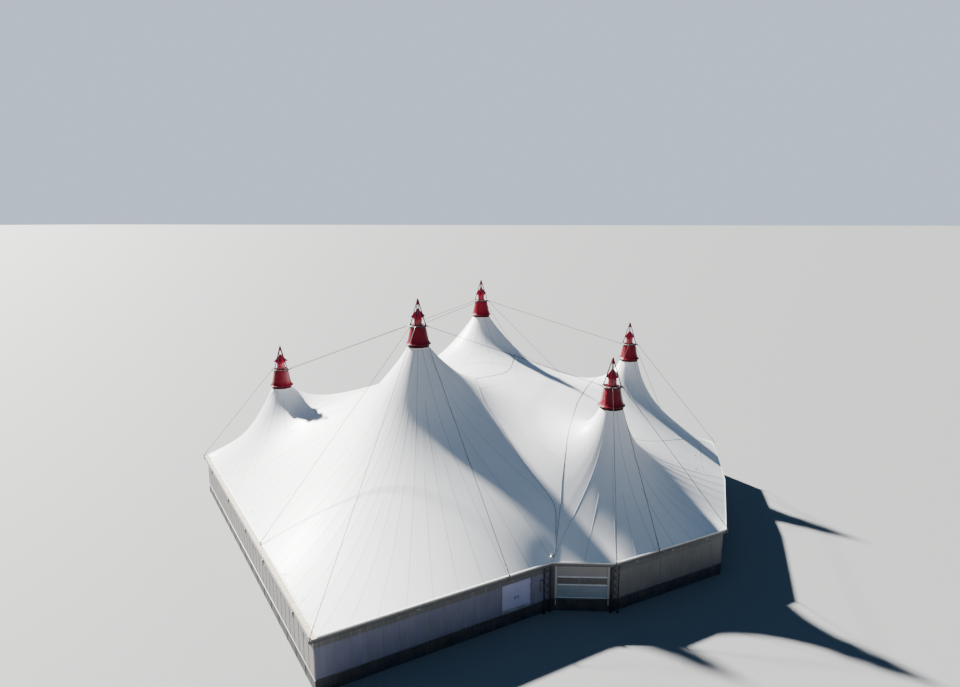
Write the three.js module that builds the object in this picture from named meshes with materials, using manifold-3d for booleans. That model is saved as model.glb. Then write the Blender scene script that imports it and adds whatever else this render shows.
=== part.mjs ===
// Circus big top with five mast heads, as a half-size model: X to the right of the tent,
// Y to its rear, Z up, origin on the ground under the middle of the plan.
import * as THREE from 'three';
import { mergeVertices } from 'three/addons/utils/BufferGeometryUtils.js';
import Module from 'manifold-3d';

const wasm = await Module();
wasm.setup();

// Every size below is the real tent's, in metres; the model is half of it, in millimetres.
const SCALE = 0.5;
const UNIT = 1000 * SCALE;
const GAP = 0.0006;

// Plan corners of the front half, seen from the left end round to the middle of the right end.
const EAVE_HEIGHT = 4.5;
const LEFT_CORNER = [-29.5, -9.28];
const SIDE_CORNER = [1.09, -38.21];
const GATE_LEFT = [14.82, -23.31];
const GATE_RIGHT = [19.89, -22.06];
const RIGHT_CORNER = [28.99, -12.91];
const RIGHT_MIDDLE = [29.64, 0];

// Masts: place in plan and height of the hood's lower rim. Inside its spread, each mast pulls
// the membrane harder the nearer it is (or less hard, where the grip is below nought).
const MASTS = [
  { x: -19.58, y: -7.64, rim: 13.56, grip: 0.52, spread: 2.9 },
  { x: -1.2, y: -11.53, rim: 19.94, grip: 0.73, spread: 4.3 },
  { x: -1.2, y: 11.53, rim: 19.94, grip: 0.73, spread: 4.3 },
  { x: 18.19, y: -11.65, rim: 15.04, grip: -0.21, spread: 6.5 },
  { x: 18.19, y: 11.65, rim: 15.04, grip: -0.21, spread: 6.5 },
];

// Points inside the plan where three or four canopy sections meet.
const LEFT_JUNCTION = [-9.3, 1.2];
const RIGHT_JUNCTION = [8.5, 0];
const FRONT_SPLIT = 0.34;
const REAR_SPLIT = 0.27;

// Membrane: mesh fineness, thickness of the solid, and its collar under each hood.
const EDGE_STEP = 3.2;
const RINGS = 8;
const MEMBRANE = 0.05;
const COLLAR_RADIUS = 1.1;
const COLLAR_DROP = 0.36;

// Perimeter: eave beam on a wall on a plinth. The membrane ends at the beam's outer edge, or
// short of it along the two long left-hand sides, where the beam carries a gutter.
const WALL_THICKNESS = 0.12;
const WALL_INSET = 0.3;
const BEAM_DEPTH = 0.28;
const BEAM_WIDTH = 0.62;
const BEAM_INSET = 0.03;
const GUTTER_WIDTH = 0.48;
const GUTTER_LIP = 0.04;
const GUTTER_DEPTH = 0.14;
const PLINTH_HEIGHT = 1.1;

// Doors in the bay beside the gate, as distances along that side from its outer corner.
const DOOR_START = 15.25;
const LEAF_WIDTH = 1.35;
const DOOR_HEIGHT = 2.45;
const LEAF_THICKNESS = 0.06;
const DOOR_CLEARANCE = 0.012;

const colours = {
  membrane: new THREE.MeshStandardMaterial({ color: 0xf2f4f6, roughness: 0.55, metalness: 0 }),
  hood: new THREE.MeshStandardMaterial({ color: 0x8a1022, roughness: 0.5, metalness: 0 }),
  steelRed: new THREE.MeshStandardMaterial({ color: 0x4a1018, roughness: 0.5, metalness: 0.4 }),
  steel: new THREE.MeshStandardMaterial({ color: 0x8c9298, roughness: 0.4, metalness: 0.8 }),
  cable: new THREE.MeshStandardMaterial({ color: 0x5a5e62, roughness: 0.4, metalness: 0.9 }),
  wall: new THREE.MeshStandardMaterial({ color: 0xb9bdc9, roughness: 0.6, metalness: 0.1 }),
  plinth: new THREE.MeshStandardMaterial({ color: 0x22242a, roughness: 0.8, metalness: 0 }),
  trim: new THREE.MeshStandardMaterial({ color: 0xe8e4d8, roughness: 0.5, metalness: 0.1 }),
  door: new THREE.MeshStandardMaterial({ color: 0xdfe0ee, roughness: 0.5, metalness: 0.1 }),
  gate: new THREE.MeshStandardMaterial({ color: 0xa9b3bd, roughness: 0.5, metalness: 0.2 }),
  lattice: new THREE.MeshStandardMaterial({ color: 0x24272b, roughness: 0.5, metalness: 0.6 }),
};

const tent = new THREE.Group();

function addPiece(name, geometry, material) {
  const piece = new THREE.Mesh(geometry, material.clone());
  piece.name = name;
  tent.add(piece);
  return piece;
}

const mirrored = ([x, y]) => [x, -y];
const between = (a, b, t) => [a[0] + (b[0] - a[0]) * t, a[1] + (b[1] - a[1]) * t];
const distance = (a, b) => Math.hypot(a[0] - b[0], a[1] - b[1]);

// Solids: a geometry becomes a manifold solid and comes back after joins and cuts.
function solid(geometry) {
  const bare = geometry.index ? geometry.toNonIndexed() : geometry.clone();
  bare.deleteAttribute('normal');
  bare.deleteAttribute('uv');
  const merged = mergeVertices(bare, 1e-4);
  return new wasm.Manifold(new wasm.Mesh({
    numProp: 3,
    vertProperties: new Float32Array(merged.attributes.position.array),
    triVerts: new Uint32Array(merged.index.array),
  }));
}

// A joined solid keeps no edge shorter than a hair: its two ends become one point.
const HAIR = 0.06;

function geometryOf(manifold) {
  const mesh = manifold.getMesh();
  const corners = new Float32Array(mesh.vertProperties);
  const stands = Array.from({ length: corners.length / 3 }, (_, i) => i);
  const standIn = (i) => (stands[i] === i ? i : standIn(stands[i]));
  const apart = (a, b) => Math.hypot(corners[3 * a] - corners[3 * b],
    corners[3 * a + 1] - corners[3 * b + 1], corners[3 * a + 2] - corners[3 * b + 2]);
  const faces = Array.from(mesh.triVerts);
  for (let f = 0; f < faces.length; f += 3) {
    [[0, 1], [1, 2], [2, 0]].forEach(([p, q]) => {
      const a = standIn(faces[f + p]);
      const b = standIn(faces[f + q]);
      if (a !== b && apart(a, b) < HAIR) stands[Math.max(a, b)] = Math.min(a, b);
    });
  }
  const index = [];
  for (let f = 0; f < faces.length; f += 3) {
    const [a, b, c] = faces.slice(f, f + 3).map(standIn);
    if (a !== b && b !== c && c !== a) index.push(a, b, c);
  }
  const geometry = new THREE.BufferGeometry();
  geometry.setAttribute('position', new THREE.BufferAttribute(corners, 3));
  geometry.setIndex(index);
  geometry.computeVertexNormals();
  return geometry;
}

function joined(geometries) {
  return geometryOf(geometries.map(solid).reduce((whole, part) => whole.add(part)));
}

// Upright prism over a footprint given in metres.
function prism(points, bottom, top) {
  const shape = new THREE.Shape(points.map(([x, y]) => new THREE.Vector2(x * UNIT, y * UNIT)));
  const geometry = new THREE.ExtrudeGeometry(shape, { depth: (top - bottom) * UNIT, bevelEnabled: false });
  return geometry.translate(0, 0, bottom * UNIT);
}

function block(x1, x2, y1, y2, z1, z2) {
  return prism([[x1, y1], [x2, y1], [x2, y2], [x1, y2]], z1, z2);
}

// Ring or disc turned round a vertical axis, from a closed profile of [radius, height] pairs.
function turned(profile, sides, lift = 0) {
  const points = profile.map(([r, h]) => new THREE.Vector2(r * UNIT, h * UNIT));
  points.push(points[0].clone());
  const geometry = new THREE.LatheGeometry(points, sides);
  return geometry.rotateX(Math.PI / 2).translate(0, 0, lift * UNIT);
}

// Straight bar between two points in metres.
function bar(from, to, radius, sides) {
  const start = new THREE.Vector3(...from).multiplyScalar(UNIT);
  const end = new THREE.Vector3(...to).multiplyScalar(UNIT);
  const along = end.clone().sub(start);
  const geometry = new THREE.CylinderGeometry(radius * UNIT, radius * UNIT, along.length(), sides);
  const turn = new THREE.Quaternion().setFromUnitVectors(new THREE.Vector3(0, 1, 0), along.normalize());
  return geometry.applyQuaternion(turn).translate(...start.add(end).multiplyScalar(0.5).toArray());
}

// Whole outline, anticlockwise seen from above, and its inset copies with mitred corners.
const FRONT_CORNERS = [LEFT_CORNER, SIDE_CORNER, GATE_LEFT, GATE_RIGHT, RIGHT_CORNER];
const OUTLINE = [...FRONT_CORNERS, RIGHT_MIDDLE, ...FRONT_CORNERS.map(mirrored).reverse()];

function inset(outline, depth, deeper = {}) {
  const count = outline.length;
  return outline.map((corner, i) => {
    const before = (i + count - 1) % count;
    const after = (i + 1) % count;
    const [n1, n2] = [[outline[before], corner], [corner, outline[after]]].map(([a, b]) => {
      const length = distance(a, b);
      return [-(b[1] - a[1]) / length, (b[0] - a[0]) / length];
    });
    const [d1, d2] = [deeper[before] ?? depth, deeper[i] ?? depth];
    const turn = n1[0] * n2[0] + n1[1] * n2[1];
    const [s1, s2] = [(d1 - d2 * turn) / (1 - turn * turn), (d2 - d1 * turn) / (1 - turn * turn)];
    return [corner[0] + n1[0] * s1 + n2[0] * s2, corner[1] + n1[1] * s1 + n2[1] * s2];
  });
}

// Canopy sections: each is a loop of plan edges round one mast. Shared edges are sampled once.
const EDGE_POINTS = {};
const pointName = (p) => `${p[0].toFixed(3)},${p[1].toFixed(3)}`;

function samples(a, b) {
  const reverse = pointName(a) > pointName(b);
  const [from, to] = reverse ? [b, a] : [a, b];
  const key = `${pointName(from)}|${pointName(to)}`;
  if (!EDGE_POINTS[key]) {
    const count = Math.max(1, Math.round(distance(from, to) / EDGE_STEP));
    EDGE_POINTS[key] = Array.from({ length: count + 1 }, (_, i) => between(from, to, i / count));
  }
  const points = EDGE_POINTS[key];
  return reverse ? points.slice().reverse() : points;
}

const GUTTER_SIDES = [0, 9];
const EDGE = inset(OUTLINE, BEAM_INSET, Object.fromEntries(GUTTER_SIDES.map((side) => [side, GUTTER_WIDTH])));
const [W, S, G1, G2, R, RM, R2, G2R, G1R, N, W2] = EDGE;
const FRONT_SEAM = between(W, S, FRONT_SPLIT);
const REAR_SEAM = between(W2, N, REAR_SPLIT);
const SECTIONS = [
  [W, FRONT_SEAM, LEFT_JUNCTION, REAR_SEAM, W2],
  [FRONT_SEAM, S, G1, RIGHT_JUNCTION, LEFT_JUNCTION],
  [RIGHT_JUNCTION, G1R, N, REAR_SEAM, LEFT_JUNCTION],
  [G1, G2, R, RM, RIGHT_JUNCTION],
  [RM, R2, G2R, G1R, RIGHT_JUNCTION],
];
const INSIDE = new Set([LEFT_JUNCTION, RIGHT_JUNCTION].map(pointName));
const EDGE_NAMES = new Set(EDGE.map(pointName));

function onEave(a, b) {
  return !INSIDE.has(pointName(a)) && !INSIDE.has(pointName(b)) && (EDGE_NAMES.has(pointName(a))
    || EDGE_NAMES.has(pointName(b)));
}

function sectionLoop(corners) {
  const loop = [];
  corners.forEach((corner, i) => {
    const next = corners[(i + 1) % corners.length];
    const eave = onEave(corner, next);
    samples(corner, next).slice(0, -1).forEach((point, k) => {
      const previous = corners[(i + corners.length - 1) % corners.length];
      const fixed = eave || (k === 0 && onEave(previous, corner));
      loop.push({ point, fixed, free: !eave || (k === 0 && !onEave(previous, corner)) });
    });
  });
  return loop;
}

// How hard the membrane is pulled at a point in plan.
function pullAt(point) {
  return MASTS.reduce((force, { x, y, grip, spread }) => {
    const reach = distance(point, [x, y]);
    return reach < spread ? force * (spread / reach) ** grip : force;
  }, 1);
}

// Height of the stretched membrane: a net of springs over the plan, held at the eave and at
// the mast collars.
const RELAXING_PASSES = 3000;
const OVERSHOOT = 1.6;

function relaxedCanopy() {
  const heights = [];
  const fixed = [];
  const places = [];
  const shared = {};
  const sections = SECTIONS.map((corners, s) => {
    const mast = MASTS[s];
    const loop = sectionLoop(corners);
    const columns = loop.map(({ point, fixed: held }) => {
      const reach = Math.hypot(point[0] - mast.x, point[1] - mast.y);
      const unit = [(point[0] - mast.x) / reach, (point[1] - mast.y) / reach];
      const column = [];
      for (let j = 0; j <= RINGS; j += 1) {
        const t = (j / RINGS) ** 1.5;
        const r = COLLAR_RADIUS + GAP + (reach - COLLAR_RADIUS - GAP) * t;
        const place = j === RINGS ? point : [mast.x + unit[0] * r, mast.y + unit[1] * r];
        const name = pointName(place);
        if (j === RINGS && name in shared) {
          column.push(shared[name]);
          continue;
        }
        const index = places.length;
        places.push(place);
        fixed.push(j === 0 || (j === RINGS && held));
        heights.push(j === 0 ? mast.rim - COLLAR_DROP : EAVE_HEIGHT);
        if (j === RINGS) shared[name] = index;
        column.push(index);
      }
      return column;
    });
    return { mast, loop, columns };
  });

  const links = places.map(() => new Map());
  const link = (a, b, weight) => {
    links[a].set(b, (links[a].get(b) ?? 0) + weight);
    links[b].set(a, (links[b].get(a) ?? 0) + weight);
  };
  const triangle = (a, b, c) => {
    const centre = [0, 1].map((axis) => (places[a][axis] + places[b][axis] + places[c][axis]) / 3);
    const pull = pullAt(centre);
    [[a, b, c], [b, c, a], [c, a, b]].forEach(([p, q, r]) => {
      const u = [places[p][0] - places[r][0], places[p][1] - places[r][1]];
      const v = [places[q][0] - places[r][0], places[q][1] - places[r][1]];
      const cross = Math.abs(u[0] * v[1] - u[1] * v[0]);
      link(p, q, (pull * (u[0] * v[0] + u[1] * v[1])) / (2 * cross));
    });
  };
  sections.forEach(({ columns }) => {
    columns.forEach((column, i) => {
      const next = columns[(i + 1) % columns.length];
      for (let j = 0; j < RINGS; j += 1) {
        triangle(column[j], column[j + 1], next[j + 1]);
        triangle(column[j], next[j + 1], next[j]);
      }
    });
  });
  for (let pass = 0; pass < RELAXING_PASSES; pass += 1) {
    links.forEach((near, i) => {
      if (fixed[i]) return;
      let total = 0;
      let weight = 0;
      near.forEach((w, j) => {
        total += w * heights[j];
        weight += w;
      });
      heights[i] += OVERSHOOT * (total / weight - heights[i]);
    });
  }
  return { sections, heights, places };
}

// One section as a closed shell, drawn in a little where it meets the next section.
const SEAM_DRAW = 2 * GAP;

function canopyShell({ mast, loop, columns }, { heights, places }) {
  const count = columns.length;
  const stride = RINGS + 1;
  const positions = [];
  [0, -MEMBRANE].forEach((offset) => {
    columns.forEach((column, i) => {
      column.forEach((index, j) => {
        let [x, y] = places[index];
        if (j === RINGS && loop[i].free) {
          const reach = distance([x, y], [mast.x, mast.y]);
          x += ((mast.x - x) / reach) * SEAM_DRAW;
          y += ((mast.y - y) / reach) * SEAM_DRAW;
        }
        positions.push(x * UNIT, y * UNIT, (heights[index] + offset) * UNIT);
      });
    });
  });
  const under = count * stride;
  const faces = [];
  const quad = (a, b, c, d) => faces.push(a, b, c, a, c, d);
  for (let i = 0; i < count; i += 1) {
    const here = i * stride;
    const next = ((i + 1) % count) * stride;
    for (let j = 0; j < RINGS; j += 1) {
      quad(here + j, here + j + 1, next + j + 1, next + j);
      quad(under + here + j, under + next + j, under + next + j + 1, under + here + j + 1);
    }
    quad(here + RINGS, under + here + RINGS, under + next + RINGS, next + RINGS);
    quad(here, next, under + next, under + here);
  }
  const geometry = new THREE.BufferGeometry();
  geometry.setAttribute('position', new THREE.BufferAttribute(new Float32Array(positions), 3));
  geometry.setIndex(faces);
  geometry.computeVertexNormals();
  return geometry;
}

const canopy = relaxedCanopy();
canopy.sections.forEach((section, s) => {
  addPiece(`canopy_${s + 1}`, canopyShell(section, canopy), colours.membrane);
});

// Mast heads: tube mast on its base plate, red hood, ring with cowl and pyramid, and stays.
const MAST_RADIUS = 0.25;
const BASE_PLATE = 0.6;
const PLATE_THICKNESS = 0.06;
const HOOD_HEIGHT = 1.74;
const HOOD_FLARE = [[1.22, 0.07], [1.08, 0.26], [0.98, 0.6]];
const HOOD_TOP = 0.775;
const HOOD_SKIN = 0.06;
const NECK_BORE = 1.0;
const NECK_BOTTOM = -0.42;
const RING_RADIUS = 0.915;
const RING_DEPTH = 0.12;
const COWL_RADIUS = 0.41;
const COWL_HEIGHT = 0.96;
const HAT_CORNER = 0.8;
const HAT_HEIGHT = 0.85;
const APEX_HEIGHT = 2.86;
const CAP_RADIUS = 0.18;
const CAP_HEIGHT = 0.6;
const CAP_TIP = 0.03;
const LEG_FOOT = 0.84;
const LEG_RADIUS = 0.06;
const LEG_COUNT = 4;
const STAY_RADIUS = 0.03;
const SIDES = 20;

function mastTube({ rim }) {
  const top = rim + HOOD_HEIGHT - GAP;
  const plate = block(-BASE_PLATE, BASE_PLATE, -BASE_PLATE, BASE_PLATE, 0, PLATE_THICKNESS);
  return joined([plate, turned([[0, 0], [MAST_RADIUS, 0], [MAST_RADIUS, top], [0, top]], 12)]);
}

// The hood's neck has the same corners as the membrane's collar, so the two lie face to face.
function neckBand({ mast, columns }) {
  const shrink = COLLAR_RADIUS / (COLLAR_RADIUS + GAP);
  const band = columns.map((column) => {
    const [px, py] = canopy.places[column[0]];
    return [(px - mast.x) * shrink, (py - mast.y) * shrink];
  });
  const bored = NECK_BORE - 0.01;
  const bore = turned([[0, NECK_BOTTOM - 1], [bored, NECK_BOTTOM - 1], [bored, 1], [0, 1]], SIDES);
  return solid(prism(band, NECK_BOTTOM, 0)).subtract(solid(bore));
}

// A bell-shaped skirt: it flares out to a rolled rim, and its skin is of even thickness above.
function hood(section) {
  const [rim, , waist] = HOOD_FLARE;
  const top = HOOD_HEIGHT - GAP;
  const skirt = turned([
    [NECK_BORE, -0.02], [rim[0], -0.02], ...HOOD_FLARE, [HOOD_TOP, top],
    [HOOD_TOP - HOOD_SKIN, top], [waist[0] - HOOD_SKIN, waist[1]], [NECK_BORE, rim[1]],
  ], SIDES);
  return geometryOf(solid(skirt).add(neckBand(section)));
}

// The cowl is a round stack under a four-cornered hat, and the pyramid's legs pass its sides.
function headFrame() {
  const hat = turned([[0, COWL_HEIGHT], [HAT_CORNER, COWL_HEIGHT], [0, COWL_HEIGHT + HAT_HEIGHT]], 4);
  const stack = [[0, 0], [COWL_RADIUS, 0], [COWL_RADIUS, COWL_HEIGHT + 0.1], [0, COWL_HEIGHT + 0.1]];
  const cap = [[0, 0], [CAP_RADIUS, 0], [CAP_TIP, CAP_HEIGHT], [0, CAP_HEIGHT]];
  const parts = [
    turned([[0, 0], [RING_RADIUS, 0], [RING_RADIUS, RING_DEPTH], [0, RING_DEPTH]], SIDES),
    turned(stack, 16, RING_DEPTH / 2),
    hat.rotateZ(Math.PI / 4).translate(0, 0, (RING_DEPTH / 2) * UNIT),
    turned(cap, 8, APEX_HEIGHT - CAP_HEIGHT),
  ];
  for (let leg = 0; leg < LEG_COUNT; leg += 1) {
    const angle = (leg * 2 * Math.PI) / LEG_COUNT;
    const foot = [LEG_FOOT * Math.cos(angle), LEG_FOOT * Math.sin(angle), RING_DEPTH / 2];
    const top = [CAP_TIP * Math.cos(angle), CAP_TIP * Math.sin(angle), APEX_HEIGHT - CAP_HEIGHT / 4];
    parts.push(bar(foot, top, LEG_RADIUS, 6));
  }
  return joined(parts);
}

// Stays run from a collar round the ring to the next mast's collar, to lugs against the outer
// face of the eave beam, or to a lug that stands in the gutter beside the membrane's edge.
const COLLAR_BAND = 0.07;
const LINK_CLEARANCE = 0.0095;
const STAY_START = RING_RADIUS + 0.047;
const LUG = 0.07;
const LUG_TOP = 0.05;
const LUG_DROP = 0.45;
const STAY_LIFT = 0.12;
const BEAM_TOP = EAVE_HEIGHT - MEMBRANE - GAP;
const BEAM_BOTTOM = BEAM_TOP - BEAM_DEPTH;
const FACE_LINE = inset(OUTLINE, -LUG - GAP);
const GUTTER_LINE = inset(OUTLINE, GUTTER_WIDTH - LUG - 0.01);
const GUTTER_ANCHOR = between(GUTTER_LINE[0], GUTTER_LINE[1], 0.63);
const BAY_ANCHOR = between(FACE_LINE[1], FACE_LINE[2], 0.79);
const CORNER_ANCHOR = between(FACE_LINE[3], FACE_LINE[4], 0.36);
const SIDE_STAYS = [GUTTER_ANCHOR, FACE_LINE[1], BAY_ANCHOR];
const RIGHT_STAYS = [FACE_LINE[3], CORNER_ANCHOR, FACE_LINE[4]];
const EAVE_STAYS = [
  [FACE_LINE[0], mirrored(FACE_LINE[0])],
  SIDE_STAYS,
  SIDE_STAYS.map(mirrored),
  RIGHT_STAYS,
  RIGHT_STAYS.map(mirrored),
];
const MAST_LINKS = [[1, 2], [2, 3], [4], [4], []];
const ringLevel = (mast) => mast.rim + HOOD_HEIGHT + RING_DEPTH / 2;

function stays(index) {
  const mast = MASTS[index];
  const hub = [mast.x, mast.y];
  const inner = RING_RADIUS + GAP;
  const outer = inner + COLLAR_BAND;
  const parts = [turned([[inner, -LUG_TOP], [outer, -LUG_TOP], [outer, LUG_TOP], [inner, LUG_TOP]], SIDES)];
  const run = (place, short, level) => {
    const span = distance(place, hub);
    const unit = [(place[0] - hub[0]) / span, (place[1] - hub[1]) / span];
    const end = [unit[0] * (span - short), unit[1] * (span - short), level - ringLevel(mast)];
    parts.push(bar([unit[0] * STAY_START, unit[1] * STAY_START, 0], end, STAY_RADIUS, 6));
    return end;
  };
  EAVE_STAYS[index].forEach((anchor) => {
    const level = EAVE_HEIGHT + STAY_LIFT;
    const [x, y, z] = run(anchor, 0, level);
    const inGutter = [GUTTER_ANCHOR, mirrored(GUTTER_ANCHOR)].map(pointName).includes(pointName(anchor));
    const foot = inGutter ? BEAM_TOP + GAP - level : -LUG_DROP;
    const lug = turned([[0, foot], [LUG, foot], [LUG, LUG_TOP], [0, LUG_TOP]], 12);
    parts.push(lug.translate(x * UNIT, y * UNIT, z * UNIT));
  });
  MAST_LINKS[index].forEach((other) => {
    const far = MASTS[other];
    run([far.x, far.y], outer + LINK_CLEARANCE, ringLevel(far));
  });
  return joined(parts);
}

MASTS.forEach((mast, index) => {
  const number = index + 1;
  const place = (piece, height) => piece.position.set(mast.x * UNIT, mast.y * UNIT, height * UNIT);
  place(addPiece(`mast_${number}`, mastTube(mast), colours.steel), 0);
  place(addPiece(`hood_${number}`, hood(canopy.sections[index]), colours.hood), mast.rim);
  place(addPiece(`head_frame_${number}`, headFrame(), colours.steelRed), mast.rim + HOOD_HEIGHT);
  place(addPiece(`stays_${number}`, stays(index), colours.cable), ringLevel(mast));
});

// Perimeter strips follow the outline at a given inset, from one corner to another.
function strip(from, to, outerInset, innerInset, bottom, top) {
  const outer = inset(OUTLINE, outerInset);
  const inner = inset(OUTLINE, innerInset);
  const take = (loop) => Array.from({ length: to - from + 1 }, (_, k) => loop[(from + k) % loop.length]);
  const outerRun = take(outer);
  const innerRun = take(inner);
  return prism([...trimmed(outerRun), ...trimmed(innerRun).reverse()], bottom, top);
}

// A run of points drawn in by half a gap at both ends.
function trimmed(run) {
  const points = run.map((point) => point.slice());
  const last = points.length - 1;
  const first = between(run[0], run[1], GAP / distance(run[0], run[1]));
  const end = between(run[last], run[last - 1], GAP / distance(run[last], run[last - 1]));
  points[0] = first;
  points[last] = end;
  return points;
}

const WALL_TOP = BEAM_BOTTOM - GAP;
const WALL_IN = WALL_INSET + WALL_THICKNESS;
const PLINTH_INSET = WALL_INSET + 0.03;

// The two halves of the perimeter, as runs of corners; each starts or ends on the centre line.
const HALVES = { front: [0, 5], rear: [5, OUTLINE.length] };
Object.entries(HALVES).forEach(([half, [from, to]], i) => {
  const side = GUTTER_SIDES[i];
  const beam = strip(from, to, 0, BEAM_WIDTH, BEAM_BOTTOM, BEAM_TOP);
  const lip = strip(side, side + 1, 0, GUTTER_LIP, BEAM_BOTTOM + BEAM_DEPTH / 2, BEAM_TOP + GUTTER_DEPTH);
  addPiece(`eave_beam_${half}`, joined([beam, lip]), colours.trim);
  addPiece(`plinth_${half}`, strip(from, to, PLINTH_INSET, WALL_IN, 0, PLINTH_HEIGHT), colours.plinth);
});

const WALLS = {
  wall_front_left: [0, 1],
  wall_front_right: [3, 4],
  wall_right: [4, 6],
  wall_rear_right: [6, 7],
  wall_rear_gate: [7, 8],
  wall_rear_bay: [8, 9],
  wall_rear_left: [9, 10],
  wall_left: [10, 11],
};
Object.entries(WALLS).forEach(([name, [from, to]]) => {
  addPiece(name, strip(from, to, WALL_INSET, WALL_IN, PLINTH_HEIGHT + GAP, WALL_TOP), colours.wall);
});

// The wall's outer face along one side: its length, its direction and points measured along it.
const wallOuter = inset(OUTLINE, WALL_INSET);
const wallInner = inset(OUTLINE, WALL_IN);

function face(side) {
  const [start, end] = [wallOuter[side], wallOuter[side + 1]];
  const length = distance(start, end);
  const [ux, uy] = [(end[0] - start[0]) / length, (end[1] - start[1]) / length];
  const point = (along, depth) => [start[0] + ux * along - uy * depth, start[1] + uy * along + ux * depth];
  return { length, point, direction: [ux, uy] };
}

// A piece made in a side's own axes, X along it and Y into the tent, goes to its place there.
function placeOn(side, piece, [x, y], height) {
  piece.position.set(x * UNIT, y * UNIT, height * UNIT);
  piece.rotation.z = Math.atan2(side.direction[1], side.direction[0]);
}

// The bay beside the gate: wall split beside and over the double door.
const bay = face(1);

const DOOR_END = DOOR_START + 2 * LEAF_WIDTH + 3 * DOOR_CLEARANCE;
const DOOR_BOTTOM = PLINTH_HEIGHT + GAP;
const DOOR_TOP = DOOR_BOTTOM + DOOR_HEIGHT;
const [bayOuter, bayInner] = [wallOuter, wallInner].map((line) => trimmed([line[1], line[2]]));
const jamb = (along) => [bay.point(along, 0), bay.point(along, WALL_THICKNESS)];
const [leftJamb, rightJamb] = [jamb(DOOR_START), jamb(DOOR_END)];
const [headLeft, headRight] = [jamb(DOOR_START + GAP), jamb(DOOR_END - GAP)];
[
  ['wall_bay_left', [bayOuter[0], ...leftJamb, bayInner[0]], DOOR_BOTTOM],
  ['wall_bay_right', [rightJamb[0], bayOuter[1], bayInner[1], rightJamb[1]], DOOR_BOTTOM],
  ['wall_over_door', [headLeft[0], ...headRight, headLeft[1]], DOOR_TOP + DOOR_CLEARANCE],
].forEach(([name, plan, foot]) => addPiece(name, prism(plan, foot, WALL_TOP), colours.wall));

// Each leaf swings out on three knuckles that lie against the wall beside it. The leaf's own
// axes are: X along the bay, Y into the tent, origin on the hinge line at the leaf's foot.
const KNUCKLE = 0.03;
const HINGE_OUT = KNUCKLE + GAP;
const KNUCKLE_HEIGHTS = [0.25, 1.15, 2.05];
const KNUCKLE_LENGTH = 0.16;
const STRAP = 0.22;

function leaf(side) {
  const edge = side * DOOR_CLEARANCE;
  const [low, high] = [edge, edge + side * LEAF_WIDTH].sort((a, b) => a - b);
  const parts = [block(low, high, HINGE_OUT, HINGE_OUT + LEAF_THICKNESS, 0, DOOR_HEIGHT - DOOR_CLEARANCE)];
  KNUCKLE_HEIGHTS.forEach((height) => {
    const [from, to] = [side * 0.004, side * STRAP].sort((a, b) => a - b);
    parts.push(turned([[0, 0], [KNUCKLE, 0], [KNUCKLE, KNUCKLE_LENGTH], [0, KNUCKLE_LENGTH]], 10, height));
    parts.push(block(from, to, 0.012, HINGE_OUT + 0.004, height + 0.02, height + KNUCKLE_LENGTH - 0.02));
  });
  return joined(parts);
}

[['door_leaf_left', DOOR_START, 1], ['door_leaf_right', DOOR_END, -1]].forEach(([name, along, side]) => {
  const piece = addPiece(name, leaf(side), colours.door);
  placeOn(bay, piece, bay.point(along, -HINGE_OUT), DOOR_BOTTOM + DOOR_CLEARANCE);
});

// Gate bay: two posts and a head in one frame, and a sectional door that fills it. Rails cross
// the door at given parts of its height, counted from the top.
const GATE_POST = 0.2;
const GATE_SIDE = 0.35;
const GATE_HEAD = 0.2;
const GATE_RECESS = 0.02;
const RAIL_PLACES = [0.33, 0.57, 0.98];
const RAIL_HEIGHT = 0.11;
const RAIL_OUT = 0.025;
const SKIN_OUT = 0.05;
const SKIN_BACK = 0.1;
const gate = face(2);
const GATE_HEIGHT = WALL_TOP - DOOR_BOTTOM;
const LEAF_WIDE = gate.length - 2 * (GATE_SIDE + GATE_POST + GAP);
const LEAF_HIGH = GATE_HEIGHT - GATE_HEAD - GAP;

function gateFrame() {
  const width = gate.length - 2 * GATE_SIDE;
  const piece = (x1, x2, foot) => block(x1, x2, GATE_RECESS, WALL_THICKNESS, foot, GATE_HEIGHT);
  return joined([piece(0, GATE_POST, 0), piece(width - GATE_POST, width, 0),
    piece(0, width, GATE_HEIGHT - GATE_HEAD)]);
}

function gateDoor() {
  const rails = RAIL_PLACES.map((place) => {
    const middle = LEAF_HIGH * (1 - place);
    const foot = Math.max(0, middle - RAIL_HEIGHT / 2);
    return block(0, LEAF_WIDE, RAIL_OUT, SKIN_BACK, foot, middle + RAIL_HEIGHT / 2);
  });
  return joined([block(0, LEAF_WIDE, SKIN_OUT, SKIN_BACK, 0, LEAF_HIGH), ...rails]);
}
placeOn(gate, addPiece('gate_frame', gateFrame(), colours.trim), gate.point(GATE_SIDE, 0), DOOR_BOTTOM);
placeOn(gate, addPiece('gate_door', gateDoor(), colours.gate), gate.point(GATE_SIDE + GATE_POST + GAP, 0),
  DOOR_BOTTOM);

// Lattice columns on both sides of the gate: two chords joined by crossing braces.
const LATTICE_WIDTH = 0.62;
const CHORD = 0.05;
const BRACE = 0.025;
const LATTICE_BAYS = 6;

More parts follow.
